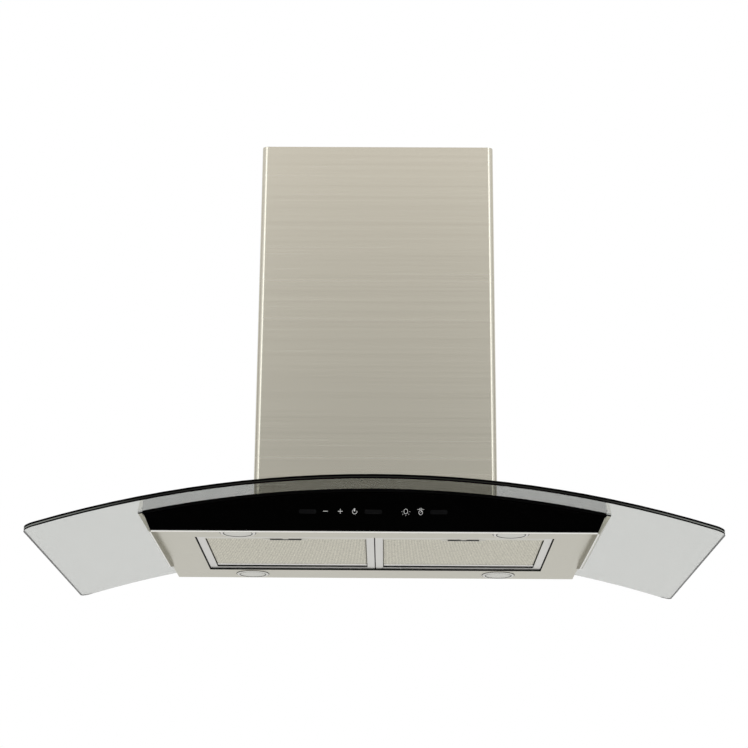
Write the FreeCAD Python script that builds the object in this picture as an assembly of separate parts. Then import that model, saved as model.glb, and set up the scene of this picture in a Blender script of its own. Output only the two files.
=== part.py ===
"""Wall-mounted range hood with a curved glass canopy, a telescopic chimney and a centrifugal blower.

Millimetres. +X is to the right as the cook sees it, +Y points back to the wall, +Z is up.
The origin is the centre of the four wall-fixing holes, on the wall plane (Y = 0).
Heights are counted from the top of the glass arch, the highest line of the canopy.
"""
import FreeCAD, Part
import math
import os

V = FreeCAD.Vector

# ---- glass canopy ---------------------------------------------------------------------------
GLASS_TOP_Z = -130.0        # crown of the glass, below the wall-fixing centre
GLASS_WIDTH = 900.0
GLASS_DEPTH = 480.0
GLASS_THICK = 6.0
GLASS_RADIUS = 1488.0       # outer face; the arch runs left to right
GLASS_CORNER = 14.0
GLASS_WALL_GAP = 5.0        # rear edge to the wall
NOTCH_CLEARANCE = 4.0       # round the air throat
NOTCH_CORNER = 10.0

# ---- body -----------------------------------------------------------------------------------
SHEET = 1.0                 # steel sheet of body and housing
BODY_FRONT_Y = -424.5
BODY_HEIGHT = 64.4          # glass crown down to the lip
LIP_HEIGHT = 8.2            # the deck lies this far above the lip
BODY_BOTTOM_WIDTH = 590.0
FLARE_SLOPE = 0.644         # outward run per unit of height
BODY_WALL_GAP = 2.0
RAKE_START_Y = -188.0       # the lower edge rises to the rear from here
RAKE_SLOPE = 0.205
DECK_REAR_Y = -68.0
GASKET_THICK = 2.0
GASKET_FIT = 0.05           # between the foam and the glass
GASKET_WIDTH = 12.0

# ---- control panel --------------------------------------------------------------------------
PANEL_THICK = 4.0
PANEL_TAPE = 2.0
PANEL_BOTTOM_WIDTH = 586.0
PANEL_FLARE = 0.44
PANEL_LIFT = 1.4            # panel bottom above the body lip
PANEL_SEAL_HEIGHT = 4.4
PANEL_CHAMFER = 1.0
BOARD_LENGTH = 212.0
BOARD_HEIGHT = 22.0
BOARD_THICK = 1.6
BOARD_CENTRE_DROP = 36.5    # below the glass crown
DISPLAY_WIDTH = 24.0
DISPLAY_HEIGHT = 6.5
DISPLAY_DEPTH = 5.0
DISPLAY_PITCH = 86.0

# ---- lamps ----------------------------------------------------------------------------------
LAMP_X = 182.0
LAMP_FRONT_Y = -383.0
LAMP_REAR_Y = -97.0
BEZEL_DIAMETER = 47.0
BEZEL_THICK = 1.4
LENS_DIAMETER = 38.0
LENS_THICK = 3.0
LAMP_BODY_DIAMETER = 41.0
LAMP_BODY_HEIGHT = 20.0

# ---- grease filters -------------------------------------------------------------------------
OPENING_WIDTH = 485.0
OPENING_FRONT_Y = -355.0
OPENING_REAR_Y = -127.0
OPENING_RIM = 12.0          # upturned rim round the opening
FILTER_GAP = 1.5
FILTER_THICK = 9.0
FILTER_RECESS = 2.2         # filter face above the deck face
FILTER_SHEET = 1.0
FRAME_SIDE = 10.5
FRAME_FRONT = 12.0
FRAME_REAR = 10.0
MESH_PITCH = 5.8
MESH_WAVE = 2.6
MESH_THICK = 0.8
CORE_SHEET = 0.6
TAB_WIDTH = 16.0
TAB_REACH = 8.0
TAB_INSET = 45.0            # tab centre from the filter's side
KNUCKLE_RADIUS = 1.6
LATCH_WIDTH = 50.0
LATCH_NOSE_WIDTH = 20.0
LATCH_DEPTH = 5.0
LATCH_THICK = 1.6
LATCH_TRAVEL = 4.2
LATCH_REACH = 1.5           # nose beyond the rim it holds on
PULL_WIDTH = 41.0
SEAT_CLEARANCE = 0.3

# ---- motor housing and air path -------------------------------------------------------------
HOUSING_WIDTH = 280.0
HOUSING_DEPTH = 240.0
HOUSING_HEIGHT = 252.0
HOUSING_LIFT = 3.0          # floor above the glass crown
HOUSING_LIP = 12.0
WALL_HOLE_PITCH_X = 220.0
WALL_HOLE_PITCH_Z = 180.0
WALL_HOLE_RADIUS = 4.25
THROAT_WIDTH = 236.0
THROAT_FRONT_Y = -230.0
THROAT_REAR_Y = -25.0
THROAT_FLANGE = 10.0
THROAT_BOTTOM_DROP = 24.0   # below the glass crown
THROAT_FIT = 0.2
THROAT_SCREW_INSET = 40.0
COLLAR_RADIUS = 74.5
COLLAR_WALL = 2.0
COLLAR_HEIGHT = 45.0
COLLAR_FLANGE = 12.0
COLLAR_Y = -100.0
FLAP_THICK = 1.5
FLAP_CLEARANCE = 0.8
FLAP_SEAT = 2.5
ROD_RADIUS = 2.0
RUNNING_FIT = 0.05

# ---- blower ---------------------------------------------------------------------------------
FAN_AXIS_Y = -128.0
FAN_AXIS_RISE = 113.0       # above the glass crown
ROTOR_RADIUS = 75.0
ROTOR_INNER = 60.0
ROTOR_WIDTH = 100.0
BLADE_COUNT = 36
SCROLL_WALL = 2.5
SCROLL_GAP = 4.0            # rotor ring to scroll side
SCROLL_START = 83.0         # radius at the tongue
SCROLL_END = 113.0          # radius at the outlet
TONGUE_ANGLE = 80.0
SCROLL_OUTLET_RISE = 206.0
SCROLL_RIM = 6.0
BELL_RADIUS = 12.0
BELL_THICK = 2.0
INLET_RADIUS = 62.0
SHAFT_RADIUS = 4.0
MOTOR_RADIUS = 42.0
MOTOR_BEARING_RADIUS = 8.0
BRACKET_THICK = 2.5
BUSH_RADIUS = 8.0

# ---- electrical box -------------------------------------------------------------------------
BOX_DEPTH = 23.0
BOX_LENGTH = 130.0
BOX_HEIGHT = 120.0
BOX_WALL = 2.0
BOX_REAR_Y = -60.0
BOX_RISE = 110.0
GLAND_BORE = 3.6

# ---- chimney --------------------------------------------------------------------------------
CHIMNEY_WIDTH = 345.0
CHIMNEY_FRONT_Y = -262.0
CHIMNEY_HEIGHT = 560.0
CHIMNEY_BEND = 8.0
CHIMNEY_RETURN = 14.0
CHIMNEY_FIT = 0.7           # gap between the two covers, each side
CHIMNEY_SCREW_RISE = 28.0   # above the glass crown
CHIMNEY_SCREW_YS = (-190.0, -90.0)
UPPER_BOTTOM_RISE = 50.0
GLASS_SEAT = 0.3            # cover edge above the glass
BRACKET_HOLE_PITCH = 240.0
BRACKET_HOLE_RADIUS = 3.25

# ---- screws ---------------------------------------------------------------------------------
SCREW_RADIUS = 2.0
SCREW_HEAD_RADIUS = 4.0
SCREW_HEAD_HEIGHT = 2.4
GLASS_SCREW_RADIUS = 2.5
GLASS_SCREW_X = 156.0
GLASS_SCREW_YS = (-205.0, -65.0)
GLASS_HOLE_RADIUS = 5.0

# ---- derived places -------------------------------------------------------------------------
ARCH_Z = GLASS_TOP_Z - GLASS_RADIUS
UNDER_GLASS = GLASS_RADIUS - GLASS_THICK
TOP_PLATE_RADIUS = UNDER_GLASS - GASKET_THICK
LIP_Z = GLASS_TOP_Z - BODY_HEIGHT
DECK_Z = LIP_Z + LIP_HEIGHT
BODY_REAR_Y = -BODY_WALL_GAP
GLASS_REAR_Y = -GLASS_WALL_GAP
GLASS_FRONT_Y = GLASS_REAR_Y - GLASS_DEPTH
PANEL_BACK_Y = BODY_FRONT_Y - PANEL_TAPE
PANEL_FRONT_Y = PANEL_BACK_Y - PANEL_THICK
PANEL_BOTTOM_Z = LIP_Z + PANEL_LIFT
FLOOR_Z = GLASS_TOP_Z + HOUSING_LIFT
ROOF_Z = FLOOR_Z + HOUSING_HEIGHT
FAN_Z = GLASS_TOP_Z + FAN_AXIS_RISE
SCROLL_HALF = ROTOR_WIDTH / 2 + SCROLL_GAP
SCROLL_OUTLET_Z = GLASS_TOP_Z + SCROLL_OUTLET_RISE
TONGUE_Y = FAN_AXIS_Y + SCROLL_START * math.cos(math.radians(TONGUE_ANGLE))
OUTLET_Y = FAN_AXIS_Y + SCROLL_END
FILTER_Z = DECK_Z + FILTER_RECESS
FILTER_WIDTH = (OPENING_WIDTH - 3 * FILTER_GAP) / 2
FILTER_FRONT_Y = OPENING_FRONT_Y + FILTER_GAP
FILTER_REAR_Y = OPENING_REAR_Y - FILTER_GAP
HINGE_Y = FILTER_REAR_Y - FILTER_SHEET / 2
HINGE_Z = FILTER_Z + FILTER_SHEET / 2
ROD_Z = ROOF_Z + 12.0
CHIMNEY_TOP_Z = GLASS_TOP_Z + CHIMNEY_HEIGHT
SIDES = (("left", -1), ("right", 1))


# ---- helpers --------------------------------------------------------------------------------
def box(x0, x1, y0, y1, z0, z1):
    return Part.makeBox(x1 - x0, y1 - y0, z1 - z0, V(x0, y0, z0))


def prism(points, direction):
    """A closed outline of 3-D points, extruded along a vector."""
    corners = [V(*point) for point in points]
    return Part.Face(Part.makePolygon(corners + corners[:1])).extrude(direction)


def prism_x(points, x0, x1):
    return prism([(x0, y, z) for y, z in points], V(x1 - x0, 0, 0))


def prism_y(points, y0, y1):
    return prism([(x, y0, z) for x, z in points], V(0, y1 - y0, 0))


def prism_z(points, z0, z1):
    return prism([(x, y, z0) for x, y in points], V(0, 0, z1 - z0))


def rod(radius, start, end):
    axis = V(*end) - V(*start)
    return Part.makeCylinder(radius, axis.Length, V(*start), axis)


def tube(outer, inner, start, end):
    return rod(outer, start, end).cut(rod(inner, start, end))


def rounded_block(x0, x1, y0, y1, z0, z1, radius, direction=V(0, 0, 1)):
    """A block whose edges along one direction are rounded."""
    block = box(x0, x1, y0, y1, z0, z1)
    edges = [edge for edge in block.Edges if abs(edge.tangentAt(0).dot(direction)) > 0.99]
    return block.makeFillet(radius, edges)


def folded_strip(points, thickness):
    """The outline of a strip of sheet folded along 2-D points, with mitred corners, to their left."""
    offset = []
    for index, (px, py) in enumerate(points):
        before = points[max(index - 1, 0)]
        after = points[min(index + 1, len(points) - 1)]
        normals = []
        for (ax, ay), (bx, by) in ((before, (px, py)), ((px, py), after)):
            length = math.hypot(bx - ax, by - ay)
            if length > 0:
                normals.append(((ay - by) / length, (bx - ax) / length))
        nx = sum(n[0] for n in normals) / len(normals)
        ny = sum(n[1] for n in normals) / len(normals)
        scale = thickness / (nx * nx + ny * ny)
        offset.append((px + nx * scale, py + ny * scale))
    return points + offset[::-1]


def arch(radius):
    """Everything under an arch parallel to the glass."""
    return Part.makeCylinder(radius, 2 * GLASS_DEPTH, V(0, -1.5 * GLASS_DEPTH, ARCH_Z), V(0, 1, 0))


def arch_z(x, radius):
    return ARCH_Z + math.sqrt(radius * radius - x * x)


def on_arch(shape, x, y):
    """Carries a piece modelled upright at the crown to x, turned square to the glass there."""
    turned = shape.copy()
    turned.translate(V(0, y, GLASS_TOP_Z))
    angle = math.degrees(math.asin(x / GLASS_RADIUS))
    turned.rotate(V(0, 0, ARCH_Z), V(0, 1, 0), angle)
    return turned


def fuse(first, *others):
    return first.multiFuse(list(others)).removeSplitter()


def group(shapes):
    return Part.makeCompound(shapes)


def save(name, shape):
    shape.exportStep("parts/" + name + ".step")


def rotate_x(shape, angle, y, z):
    turned = shape.copy()
    turned.rotate(V(0, y, z), V(1, 0, 0), angle)
    return turned


# ---- glass canopy and what clamps it --------------------------------------------------------
def glass_screw_places():
    return [(side * GLASS_SCREW_X, y) for side in (-1, 1) for y in GLASS_SCREW_YS]


def notch_block(z0, z1):
    """The cut-out in the glass, open to the rear, that the air throat passes through."""
    half = THROAT_WIDTH / 2 + NOTCH_CLEARANCE
    front = THROAT_FRONT_Y - NOTCH_CLEARANCE
    return rounded_block(-half, half, front, GLASS_DEPTH, z0, z1, NOTCH_CORNER)


def glass_canopy():
    low = GLASS_TOP_Z - 2 * BODY_HEIGHT
    plan = rounded_block(-GLASS_WIDTH / 2, GLASS_WIDTH / 2, GLASS_FRONT_Y, GLASS_REAR_Y,
                         low, GLASS_TOP_Z + 1, GLASS_CORNER)
    pane = plan.common(arch(GLASS_RADIUS)).cut(arch(UNDER_GLASS))
    pane = pane.cut(notch_block(low, GLASS_TOP_Z + 1))
    for x, y in glass_screw_places():
        pane = pane.cut(on_arch(rod(GLASS_HOLE_RADIUS, (0, 0, -3 * GLASS_THICK), (0, 0, 1)), x, y))
    return pane


def glass_gasket():
    ring = outer_body().common(arch(UNDER_GLASS - GASKET_FIT)).cut(arch(TOP_PLATE_RADIUS))
    half = body_half_width(GLASS_TOP_Z - BODY_HEIGHT / 2) - GASKET_WIDTH
    inside = box(-half, half, BODY_FRONT_Y + GASKET_WIDTH, BODY_REAR_Y + 1,
                 GLASS_TOP_Z - BODY_HEIGHT, GLASS_TOP_Z)
    return ring.cut(inside).cut(box(-GLASS_WIDTH, GLASS_WIDTH, GLASS_REAR_Y, 0, 2 * LIP_Z, 0))


def glass_pads():
    pads = []
    for side in (-1, 1):
        edges = sorted((side * (GLASS_SCREW_X - 18), side * (GLASS_SCREW_X + 14)))
        strip = box(edges[0], edges[1], GLASS_SCREW_YS[0] - 20, GLASS_SCREW_YS[1] + 20,
                    GLASS_TOP_Z - BODY_HEIGHT, GLASS_TOP_Z)
        pad = strip.common(arch(UNDER_GLASS - GASKET_FIT)).cut(arch(TOP_PLATE_RADIUS))
        for y in GLASS_SCREW_YS:
            hole = rod(GLASS_SCREW_RADIUS + THROAT_FIT, (0, 0, -BODY_HEIGHT), (0, 0, 1))
            pad = pad.cut(on_arch(hole, side * GLASS_SCREW_X, y))
        pads.append(pad)
    return group(pads)


def glass_sleeves():
    flange = tube(9.0, GLASS_SCREW_RADIUS + THROAT_FIT, (0, 0, 0), (0, 0, 1.5))
    neck = tube(GLASS_HOLE_RADIUS - THROAT_FIT, GLASS_SCREW_RADIUS + THROAT_FIT,
                (0, 0, -GLASS_THICK), (0, 0, 0))
    sleeve = fuse(flange, neck)
    return group([on_arch(sleeve, x, y) for x, y in glass_screw_places()])


def glass_screws():
    bottom = -(GLASS_THICK + GASKET_THICK + SHEET + 5.0)
    shank = rod(GLASS_SCREW_RADIUS, (0, 0, bottom), (0, 0, 1.5))
    head = Part.makeCone(6.0, 3.5, 3.0, V(0, 0, 1.5), V(0, 0, 1))
    screw = fuse(shank, head)
    return group([on_arch(screw, x, y) for x, y in glass_screw_places()])


def glass_nuts():
    top = -(GLASS_THICK + GASKET_THICK + SHEET)
    corners = [(4.6 * math.cos(math.radians(60 * k)), 4.6 * math.sin(math.radians(60 * k)))
               for k in range(6)]
    nut = prism_z(corners, top - 4.0, top).cut(rod(GLASS_SCREW_RADIUS, (0, 0, top - 5), (0, 0, top + 1)))
    return group([on_arch(nut, x, y) for x, y in glass_screw_places()])


# ---- body -----------------------------------------------------------------------------------
def body_half_width(z, inset=0.0):
    return BODY_BOTTOM_WIDTH / 2 - inset * math.hypot(1, FLARE_SLOPE) + FLARE_SLOPE * (z - LIP_Z)


def raked_profile(inset=0.0):
    """Side view of the flared part: flat lip, raked lower edge, upright front and rear."""
    rise = inset * math.hypot(1, RAKE_SLOPE)
    rear = BODY_REAR_Y - inset
    rear_z = LIP_Z + rise + RAKE_SLOPE * (rear - RAKE_START_Y)
    bottom = LIP_Z + inset
    turn_y = RAKE_START_Y + (inset - rise) / RAKE_SLOPE
    front = BODY_FRONT_Y + inset
    return [(front, 0), (front, bottom), (turn_y, bottom), (rear, rear_z), (rear, 0)]


def flared_prism(inset=0.0):
    low = body_half_width(LIP_Z - 10, inset)
    high = body_half_width(0, inset)
    side = prism_y([(-low, LIP_Z - 10), (low, LIP_Z - 10), (high, 0), (-high, 0)],
                   2 * BODY_FRONT_Y, 0)
    profile = prism_x(raked_profile(inset), -GLASS_WIDTH / 2, GLASS_WIDTH / 2)
    return side.common(profile)


def deck_block(inset, z0):
    half = BODY_BOTTOM_WIDTH / 2 - inset
    return box(-half, half, BODY_FRONT_Y + inset, DECK_REAR_Y + SHEET - inset, z0, GLASS_TOP_Z - BODY_HEIGHT / 2)


def outer_body():
    return flared_prism().fuse(deck_block(0, DECK_Z))


def body_shell():
    hollow = flared_prism(SHEET).fuse(deck_block(SHEET, LIP_Z - 1))
    shell = outer_body().cut(hollow).common(arch(TOP_PLATE_RADIUS - SHEET))
    centre = GLASS_TOP_Z - BOARD_CENTRE_DROP
    window = box(-BOARD_LENGTH / 2, BOARD_LENGTH / 2, BODY_FRONT_Y - 1, BODY_FRONT_Y + SHEET + 1,
                 centre - BOARD_HEIGHT / 2, centre + BOARD_HEIGHT / 2)
    return shell.cut(window)


def underside_panel():
    half = BODY_BOTTOM_WIDTH / 2 - SHEET
    front = BODY_FRONT_Y + SHEET
    deck = box(-half, half, front, DECK_REAR_Y, DECK_Z, DECK_Z + SHEET)
    cut_top = RAKE_START_Y + LIP_HEIGHT / RAKE_SLOPE
    lip_side = [(front, LIP_Z), (RAKE_START_Y, LIP_Z), (cut_top, DECK_Z), (front, DECK_Z)]
    left_lip = prism_x(lip_side, -half, -half + SHEET)
    right_lip = prism_x(lip_side, half - SHEET, half)
    front_lip = box(-half, half, front, front + SHEET, LIP_Z, DECK_Z)
    rim_half = OPENING_WIDTH / 2
    rim_top = DECK_Z + OPENING_RIM
    rim = box(-rim_half - SHEET, rim_half + SHEET, OPENING_FRONT_Y - SHEET, OPENING_REAR_Y + SHEET,
              DECK_Z, rim_top)
    panel = fuse(deck, left_lip, right_lip, front_lip, rim)
    panel = panel.cut(box(-rim_half, rim_half, OPENING_FRONT_Y, OPENING_REAR_Y, DECK_Z - 1, rim_top + 1))
    for centre in filter_centres():
        for tab_x in tab_centres(centre):
            notch_half = TAB_WIDTH / 2 + 1
            panel = panel.cut(box(tab_x - notch_half, tab_x + notch_half, OPENING_REAR_Y - 1,
                                  OPENING_REAR_Y + SHEET + 1, FILTER_Z - SEAT_CLEARANCE, rim_top + 1))
        nose_half = LATCH_NOSE_WIDTH / 2 + 1
        nose_z = FILTER_Z + FILTER_SHEET
        panel = panel.cut(box(centre - nose_half, centre + nose_half, OPENING_FRONT_Y - SHEET - 1,
                              OPENING_FRONT_Y + 1, nose_z - SEAT_CLEARANCE,
                              nose_z + LATCH_THICK + 2 * SEAT_CLEARANCE))
    for _, x, y in lamp_places():
        panel = panel.cut(rod(LAMP_BODY_DIAMETER / 2 + THROAT_FIT, (x, y, DECK_Z - 1), (x, y, DECK_Z + SHEET + 1)))
    return panel


def top_plate():
    """Curved plate under the glass, with a downturned collar round the air opening."""
    plate = outer_body().common(arch(TOP_PLATE_RADIUS)).cut(arch(TOP_PLATE_RADIUS - SHEET))
    half = THROAT_WIDTH / 2 + THROAT_FIT
    front = THROAT_FRONT_Y - THROAT_FIT
    rear = THROAT_REAR_Y + THROAT_FIT
    bottom = GLASS_TOP_Z - THROAT_BOTTOM_DROP
    collar = box(-half - SHEET, half + SHEET, front - SHEET, rear + SHEET, bottom, GLASS_TOP_Z)
    collar = collar.common(arch(TOP_PLATE_RADIUS))
    plate = fuse(plate, collar).cut(box(-half, half, front, rear, bottom - 1, GLASS_TOP_Z))
    for x, y in glass_screw_places():
        plate = plate.cut(on_arch(rod(GLASS_SCREW_RADIUS + THROAT_FIT, (0, 0, -20), (0, 0, 1)), x, y))
    for side, y in throat_screw_places():
        plate = plate.cut(throat_screw_hole(side, y))
    return plate


# ---- control panel --------------------------------------------------------------------------
def panel_outline(inset):
    low = PANEL_BOTTOM_WIDTH / 2 - inset
    return [(-low, PANEL_BOTTOM_Z + inset), (low, PANEL_BOTTOM_Z + inset),
            (low + PANEL_FLARE * BODY_HEIGHT, PANEL_BOTTOM_Z + BODY_HEIGHT),
            (-low - PANEL_FLARE * BODY_HEIGHT, PANEL_BOTTOM_Z + BODY_HEIGHT)]


def control_panel():
    slab = prism_y(panel_outline(0), PANEL_FRONT_Y, PANEL_BACK_Y)
    slab = slab.common(arch(UNDER_GLASS - PANEL_SEAL_HEIGHT))
    front_edges = [edge for edge in slab.Edges
                   if all(abs(v.Point.y - PANEL_FRONT_Y) < 0.01 for v in edge.Vertexes)]
    return slab.makeChamfer(PANEL_CHAMFER, front_edges)


def panel_seal():
    half = PANEL_BOTTOM_WIDTH / 2 + PANEL_FLARE * BODY_HEIGHT / 2 - 3
    strip = box(-half, half, PANEL_FRONT_Y, PANEL_BACK_Y, LIP_Z, GLASS_TOP_Z)
    return strip.common(arch(UNDER_GLASS)).cut(arch(UNDER_GLASS - PANEL_SEAL_HEIGHT))


def panel_tape():
    outer = prism_y(panel_outline(3), PANEL_BACK_Y, BODY_FRONT_Y)
    outer = outer.common(arch(UNDER_GLASS - PANEL_SEAL_HEIGHT - 3))
    inner = prism_y(panel_outline(13), PANEL_BACK_Y - 1, BODY_FRONT_Y + 1)
    return outer.cut(inner.common(arch(UNDER_GLASS - PANEL_SEAL_HEIGHT - 13)))


def display_modules():
    """Three displays pressed against the back of the panel glass."""
    centre = GLASS_TOP_Z - BOARD_CENTRE_DROP
    blocks = []
    for step in (-1, 0, 1):
        x = step * DISPLAY_PITCH
        blocks.append(box(x - DISPLAY_WIDTH / 2, x + DISPLAY_WIDTH / 2, PANEL_BACK_Y,
                          PANEL_BACK_Y + DISPLAY_DEPTH, centre - DISPLAY_HEIGHT / 2,
                          centre + DISPLAY_HEIGHT / 2))
    return group(blocks)


def touch_board():
    centre = GLASS_TOP_Z - BOARD_CENTRE_DROP
    half = BOARD_LENGTH / 2 - 2
    tall = BOARD_HEIGHT / 2 - 2
    front = PANEL_BACK_Y + DISPLAY_DEPTH
    return rounded_block(-half, half, front, front + BOARD_THICK, centre - tall, centre + tall,
                         2.0, V(0, 1, 0))


def board_cover():
    """Plastic tray behind the touch board, on the inner face of the front wall."""
    centre = GLASS_TOP_Z - BOARD_CENTRE_DROP
    half = BOARD_LENGTH / 2 + 5
    low = centre - BOARD_HEIGHT / 2 - 3
    high = centre + BOARD_HEIGHT / 2 + 3
    front = BODY_FRONT_Y + SHEET
    board_back = PANEL_BACK_Y + DISPLAY_DEPTH + BOARD_THICK
    back = board_back + 8.0
    tray = box(-half, half, front, back, low, high)
    tray = tray.cut(box(-half + BOX_WALL, half - BOX_WALL, front - 1, back - BOX_WALL,
                        low + BOX_WALL, high - BOX_WALL))
    posts = [rod(3.0, (x, back, centre), (x, board_back, centre)) for x in (-half / 2, 0, half / 2)]
    return fuse(tray, *posts)


# ---- lamps ----------------------------------------------------------------------------------
def lamp_places():
    return [(row + "_" + side, sign * LAMP_X, y)
            for row, y in (("front", LAMP_FRONT_Y), ("rear", LAMP_REAR_Y)) for side, sign in SIDES]


def revolve_z(points, x, y):
    """A closed (radius, height) outline turned about a vertical axis at x, y."""
    corners = [V(x + r, y, z) for r, z in points]
    face = Part.Face(Part.makePolygon(corners + corners[:1]))
    return face.revolve(V(x, y, 0), V(0, 0, 1), 360)


def lamp_bezel(x, y):
    outer = BEZEL_DIAMETER / 2
    inner = LENS_DIAMETER / 2
    face = DECK_Z - BEZEL_THICK
    return revolve_z([(inner, DECK_Z), (inner, face + 0.4), (inner + 1.2, face), (outer - 1.0, face),
                      (outer, face + 0.8), (outer, DECK_Z)], x, y)


def lamp_lens(x, y):
    inner = LENS_DIAMETER / 2
    face = DECK_Z - BEZEL_THICK + 0.5
    return revolve_z([(0, face - 0.3), (inner * 0.7, face - 0.2), (inner, face), (inner, face + LENS_THICK),
                      (0, face + LENS_THICK)], x, y)


def lamp_body(x, y):
    """Lamp body above the deck, closed at the top, open over the lens."""
    outer = LAMP_BODY_DIAMETER / 2
    top = DECK_Z + LAMP_BODY_HEIGHT
    lens_top = DECK_Z - BEZEL_THICK + 0.5 + LENS_THICK
    return revolve_z([(LENS_DIAMETER / 2, DECK_Z), (outer, DECK_Z), (outer, top - 6), (outer - 6, top), (0, top),
                      (0, top - 3), (LENS_DIAMETER / 2 - 6, top - 3), (LENS_DIAMETER / 2 - 4, lens_top),
                      (LENS_DIAMETER / 2, lens_top)], x, y)


# ---- grease filters -------------------------------------------------------------------------
def filter_centres():
    offset = (FILTER_WIDTH + FILTER_GAP) / 2
    return (-offset, offset)


def tab_centres(centre):
    reach = FILTER_WIDTH / 2 - TAB_INSET
    return (centre - reach, centre + reach)


def latch_bounds():
    """Front and rear of the latch plate at rest, inside the front channel of the frame."""
    front = FILTER_FRONT_Y + FILTER_SHEET + SEAT_CLEARANCE
    return front, front + LATCH_DEPTH


def filter_frame(centre):
    half = FILTER_WIDTH / 2
    x0 = centre - half
    x1 = centre + half
    front = FILTER_FRONT_Y
    rear = FILTER_REAR_Y
    top = FILTER_Z + FILTER_THICK
    sheet = FILTER_SHEET
    frame = box(x0, x1, front, rear, FILTER_Z, top)
    seat = front + FRAME_FRONT - sheet
    pack = box(x0 + sheet, x1 - sheet, seat + sheet, rear - sheet, FILTER_Z + sheet, top - sheet)
    channel = box(x0 + sheet, x1 - sheet, front + sheet, seat, FILTER_Z + sheet, top - sheet)
    window = rounded_block(x0 + FRAME_SIDE, x1 - FRAME_SIDE, front + FRAME_FRONT, rear - FRAME_REAR,
                           FILTER_Z - 1, top + 1, 2.0)
    frame = frame.cut(pack).cut(channel).cut(window)
    latch_front, latch_rear = latch_bounds()
    nose_half = LATCH_NOSE_WIDTH / 2 + 0.5
    nose_slot = box(centre - nose_half, centre + nose_half, front - 1, front + sheet + 1,
                    FILTER_Z + sheet, FILTER_Z + sheet + LATCH_THICK + SEAT_CLEARANCE)
    pull_slot = rounded_block(centre - PULL_WIDTH / 2, centre + PULL_WIDTH / 2, latch_front + 1,
                              latch_front + 1 + sheet + LATCH_TRAVEL + 2 * SEAT_CLEARANCE,
                              FILTER_Z - 1, FILTER_Z + sheet + 0.5, 2.5)
    frame = frame.cut(nose_slot).cut(pull_slot)
    pieces = []
    for x in tab_centres(centre):
        tab = box(x - TAB_WIDTH / 2, x + TAB_WIDTH / 2, HINGE_Y, rear + TAB_REACH,
                  FILTER_Z, FILTER_Z + sheet)
        knuckle = rod(KNUCKLE_RADIUS, (x - TAB_WIDTH / 2, HINGE_Y, HINGE_Z),
                      (x + TAB_WIDTH / 2, HINGE_Y, HINGE_Z))
        pieces += [tab, knuckle]
    return fuse(frame, *pieces)


def mesh_bounds(centre):
    reach = FILTER_WIDTH / 2 - FILTER_SHEET - SEAT_CLEARANCE
    return centre - reach, centre + reach, FILTER_FRONT_Y + FRAME_FRONT, FILTER_REAR_Y - FILTER_SHEET


def filter_mesh(centre):
    """Corrugated aluminium mesh, its waves running front to back."""
    x0, x1, front, rear = mesh_bounds(centre)
    count = int((x1 - x0) / MESH_PITCH)
    quarter = (x1 - x0) / count / 4
    bottom = FILTER_Z + FILTER_SHEET
    heights = (MESH_WAVE / 2, 0, MESH_WAVE / 2, MESH_WAVE)
    under = [(x0 + step * quarter, bottom + heights[step % 4]) for step in range(4 * count + 1)]
    over = [(x, z + MESH_THICK) for x, z in reversed(under)]
    return prism_y(under + over, front, rear)


def filter_core(centre):
    """Two flat layers of fine mesh above the corrugated one, joined by a hem at front and rear."""
    x0, x1, front, rear = mesh_bounds(centre)
    bottom = FILTER_Z + FILTER_SHEET + MESH_WAVE + MESH_THICK
    roof = FILTER_Z + FILTER_THICK - FILTER_SHEET
    block = box(x0, x1, front, rear, bottom, roof)
    return block.cut(box(x0 - 1, x1 + 1, front + CORE_SHEET, rear - CORE_SHEET,
                         bottom + CORE_SHEET, roof - CORE_SHEET))


def filter_latch(centre):
    """Sliding latch: a plate in the front channel, a nose over the rim and a finger pull."""
    front, rear = latch_bounds()
    low = FILTER_Z + FILTER_SHEET
    plate = box(centre - LATCH_WIDTH / 2, centre + LATCH_WIDTH / 2, front, rear, low, low + LATCH_THICK)
    tip = OPENING_FRONT_Y - SHEET - LATCH_REACH
    nose = rounded_block(centre - LATCH_NOSE_WIDTH / 2, centre + LATCH_NOSE_WIDTH / 2, tip, front + 3,
                         low, low + LATCH_THICK, 1.0)
    pull_front = front + 1 + SEAT_CLEARANCE
    pull = box(centre - PULL_WIDTH / 2 + 3, centre + PULL_WIDTH / 2 - 3, pull_front,
               pull_front + FILTER_SHEET, FILTER_Z, low + LATCH_THICK)
    return fuse(plate, nose, pull)


def latch_spring(centre):
    """Bowed leaf spring between the latch plate and the seat wall of the front channel."""
    _, front = latch_bounds()
    seat = FILTER_FRONT_Y + FRAME_FRONT - FILTER_SHEET
    half = LATCH_WIDTH / 2 - 6
    leaf = 0.5
    low = FILTER_Z + FILTER_SHEET + 0.2
    outer = Part.Arc(V(centre - half, seat, low), V(centre, front, low), V(centre + half, seat, low)).toShape()
    inner = Part.Arc(V(centre + half - 2, seat, low), V(centre, front + leaf, low),
                     V(centre - half + 2, seat, low)).toShape()
    ends = [Part.makeLine(V(centre + half, seat, low), V(centre + half - 2, seat, low)),
            Part.makeLine(V(centre - half + 2, seat, low), V(centre - half, seat, low))]
    return Part.Face(Part.Wire([outer, ends[0], inner, ends[1]])).extrude(V(0, 0, LATCH_THICK))


# ---- motor housing and air path -------------------------------------------------------------
def throat_screw_places():
    return [(side, y) for side in (-1, 1)
            for y in (THROAT_FRONT_Y + THROAT_SCREW_INSET, THROAT_REAR_Y - THROAT_SCREW_INSET)]


def throat_screw_hole(side, y):
    z = throat_screw_z()
    return rod(SCREW_RADIUS, (side * (THROAT_WIDTH / 2 - 5), y, z), (side * (THROAT_WIDTH / 2 + 5), y, z))


def throat_screw_z():
    return GLASS_TOP_Z - THROAT_BOTTOM_DROP + 4.0


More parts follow.
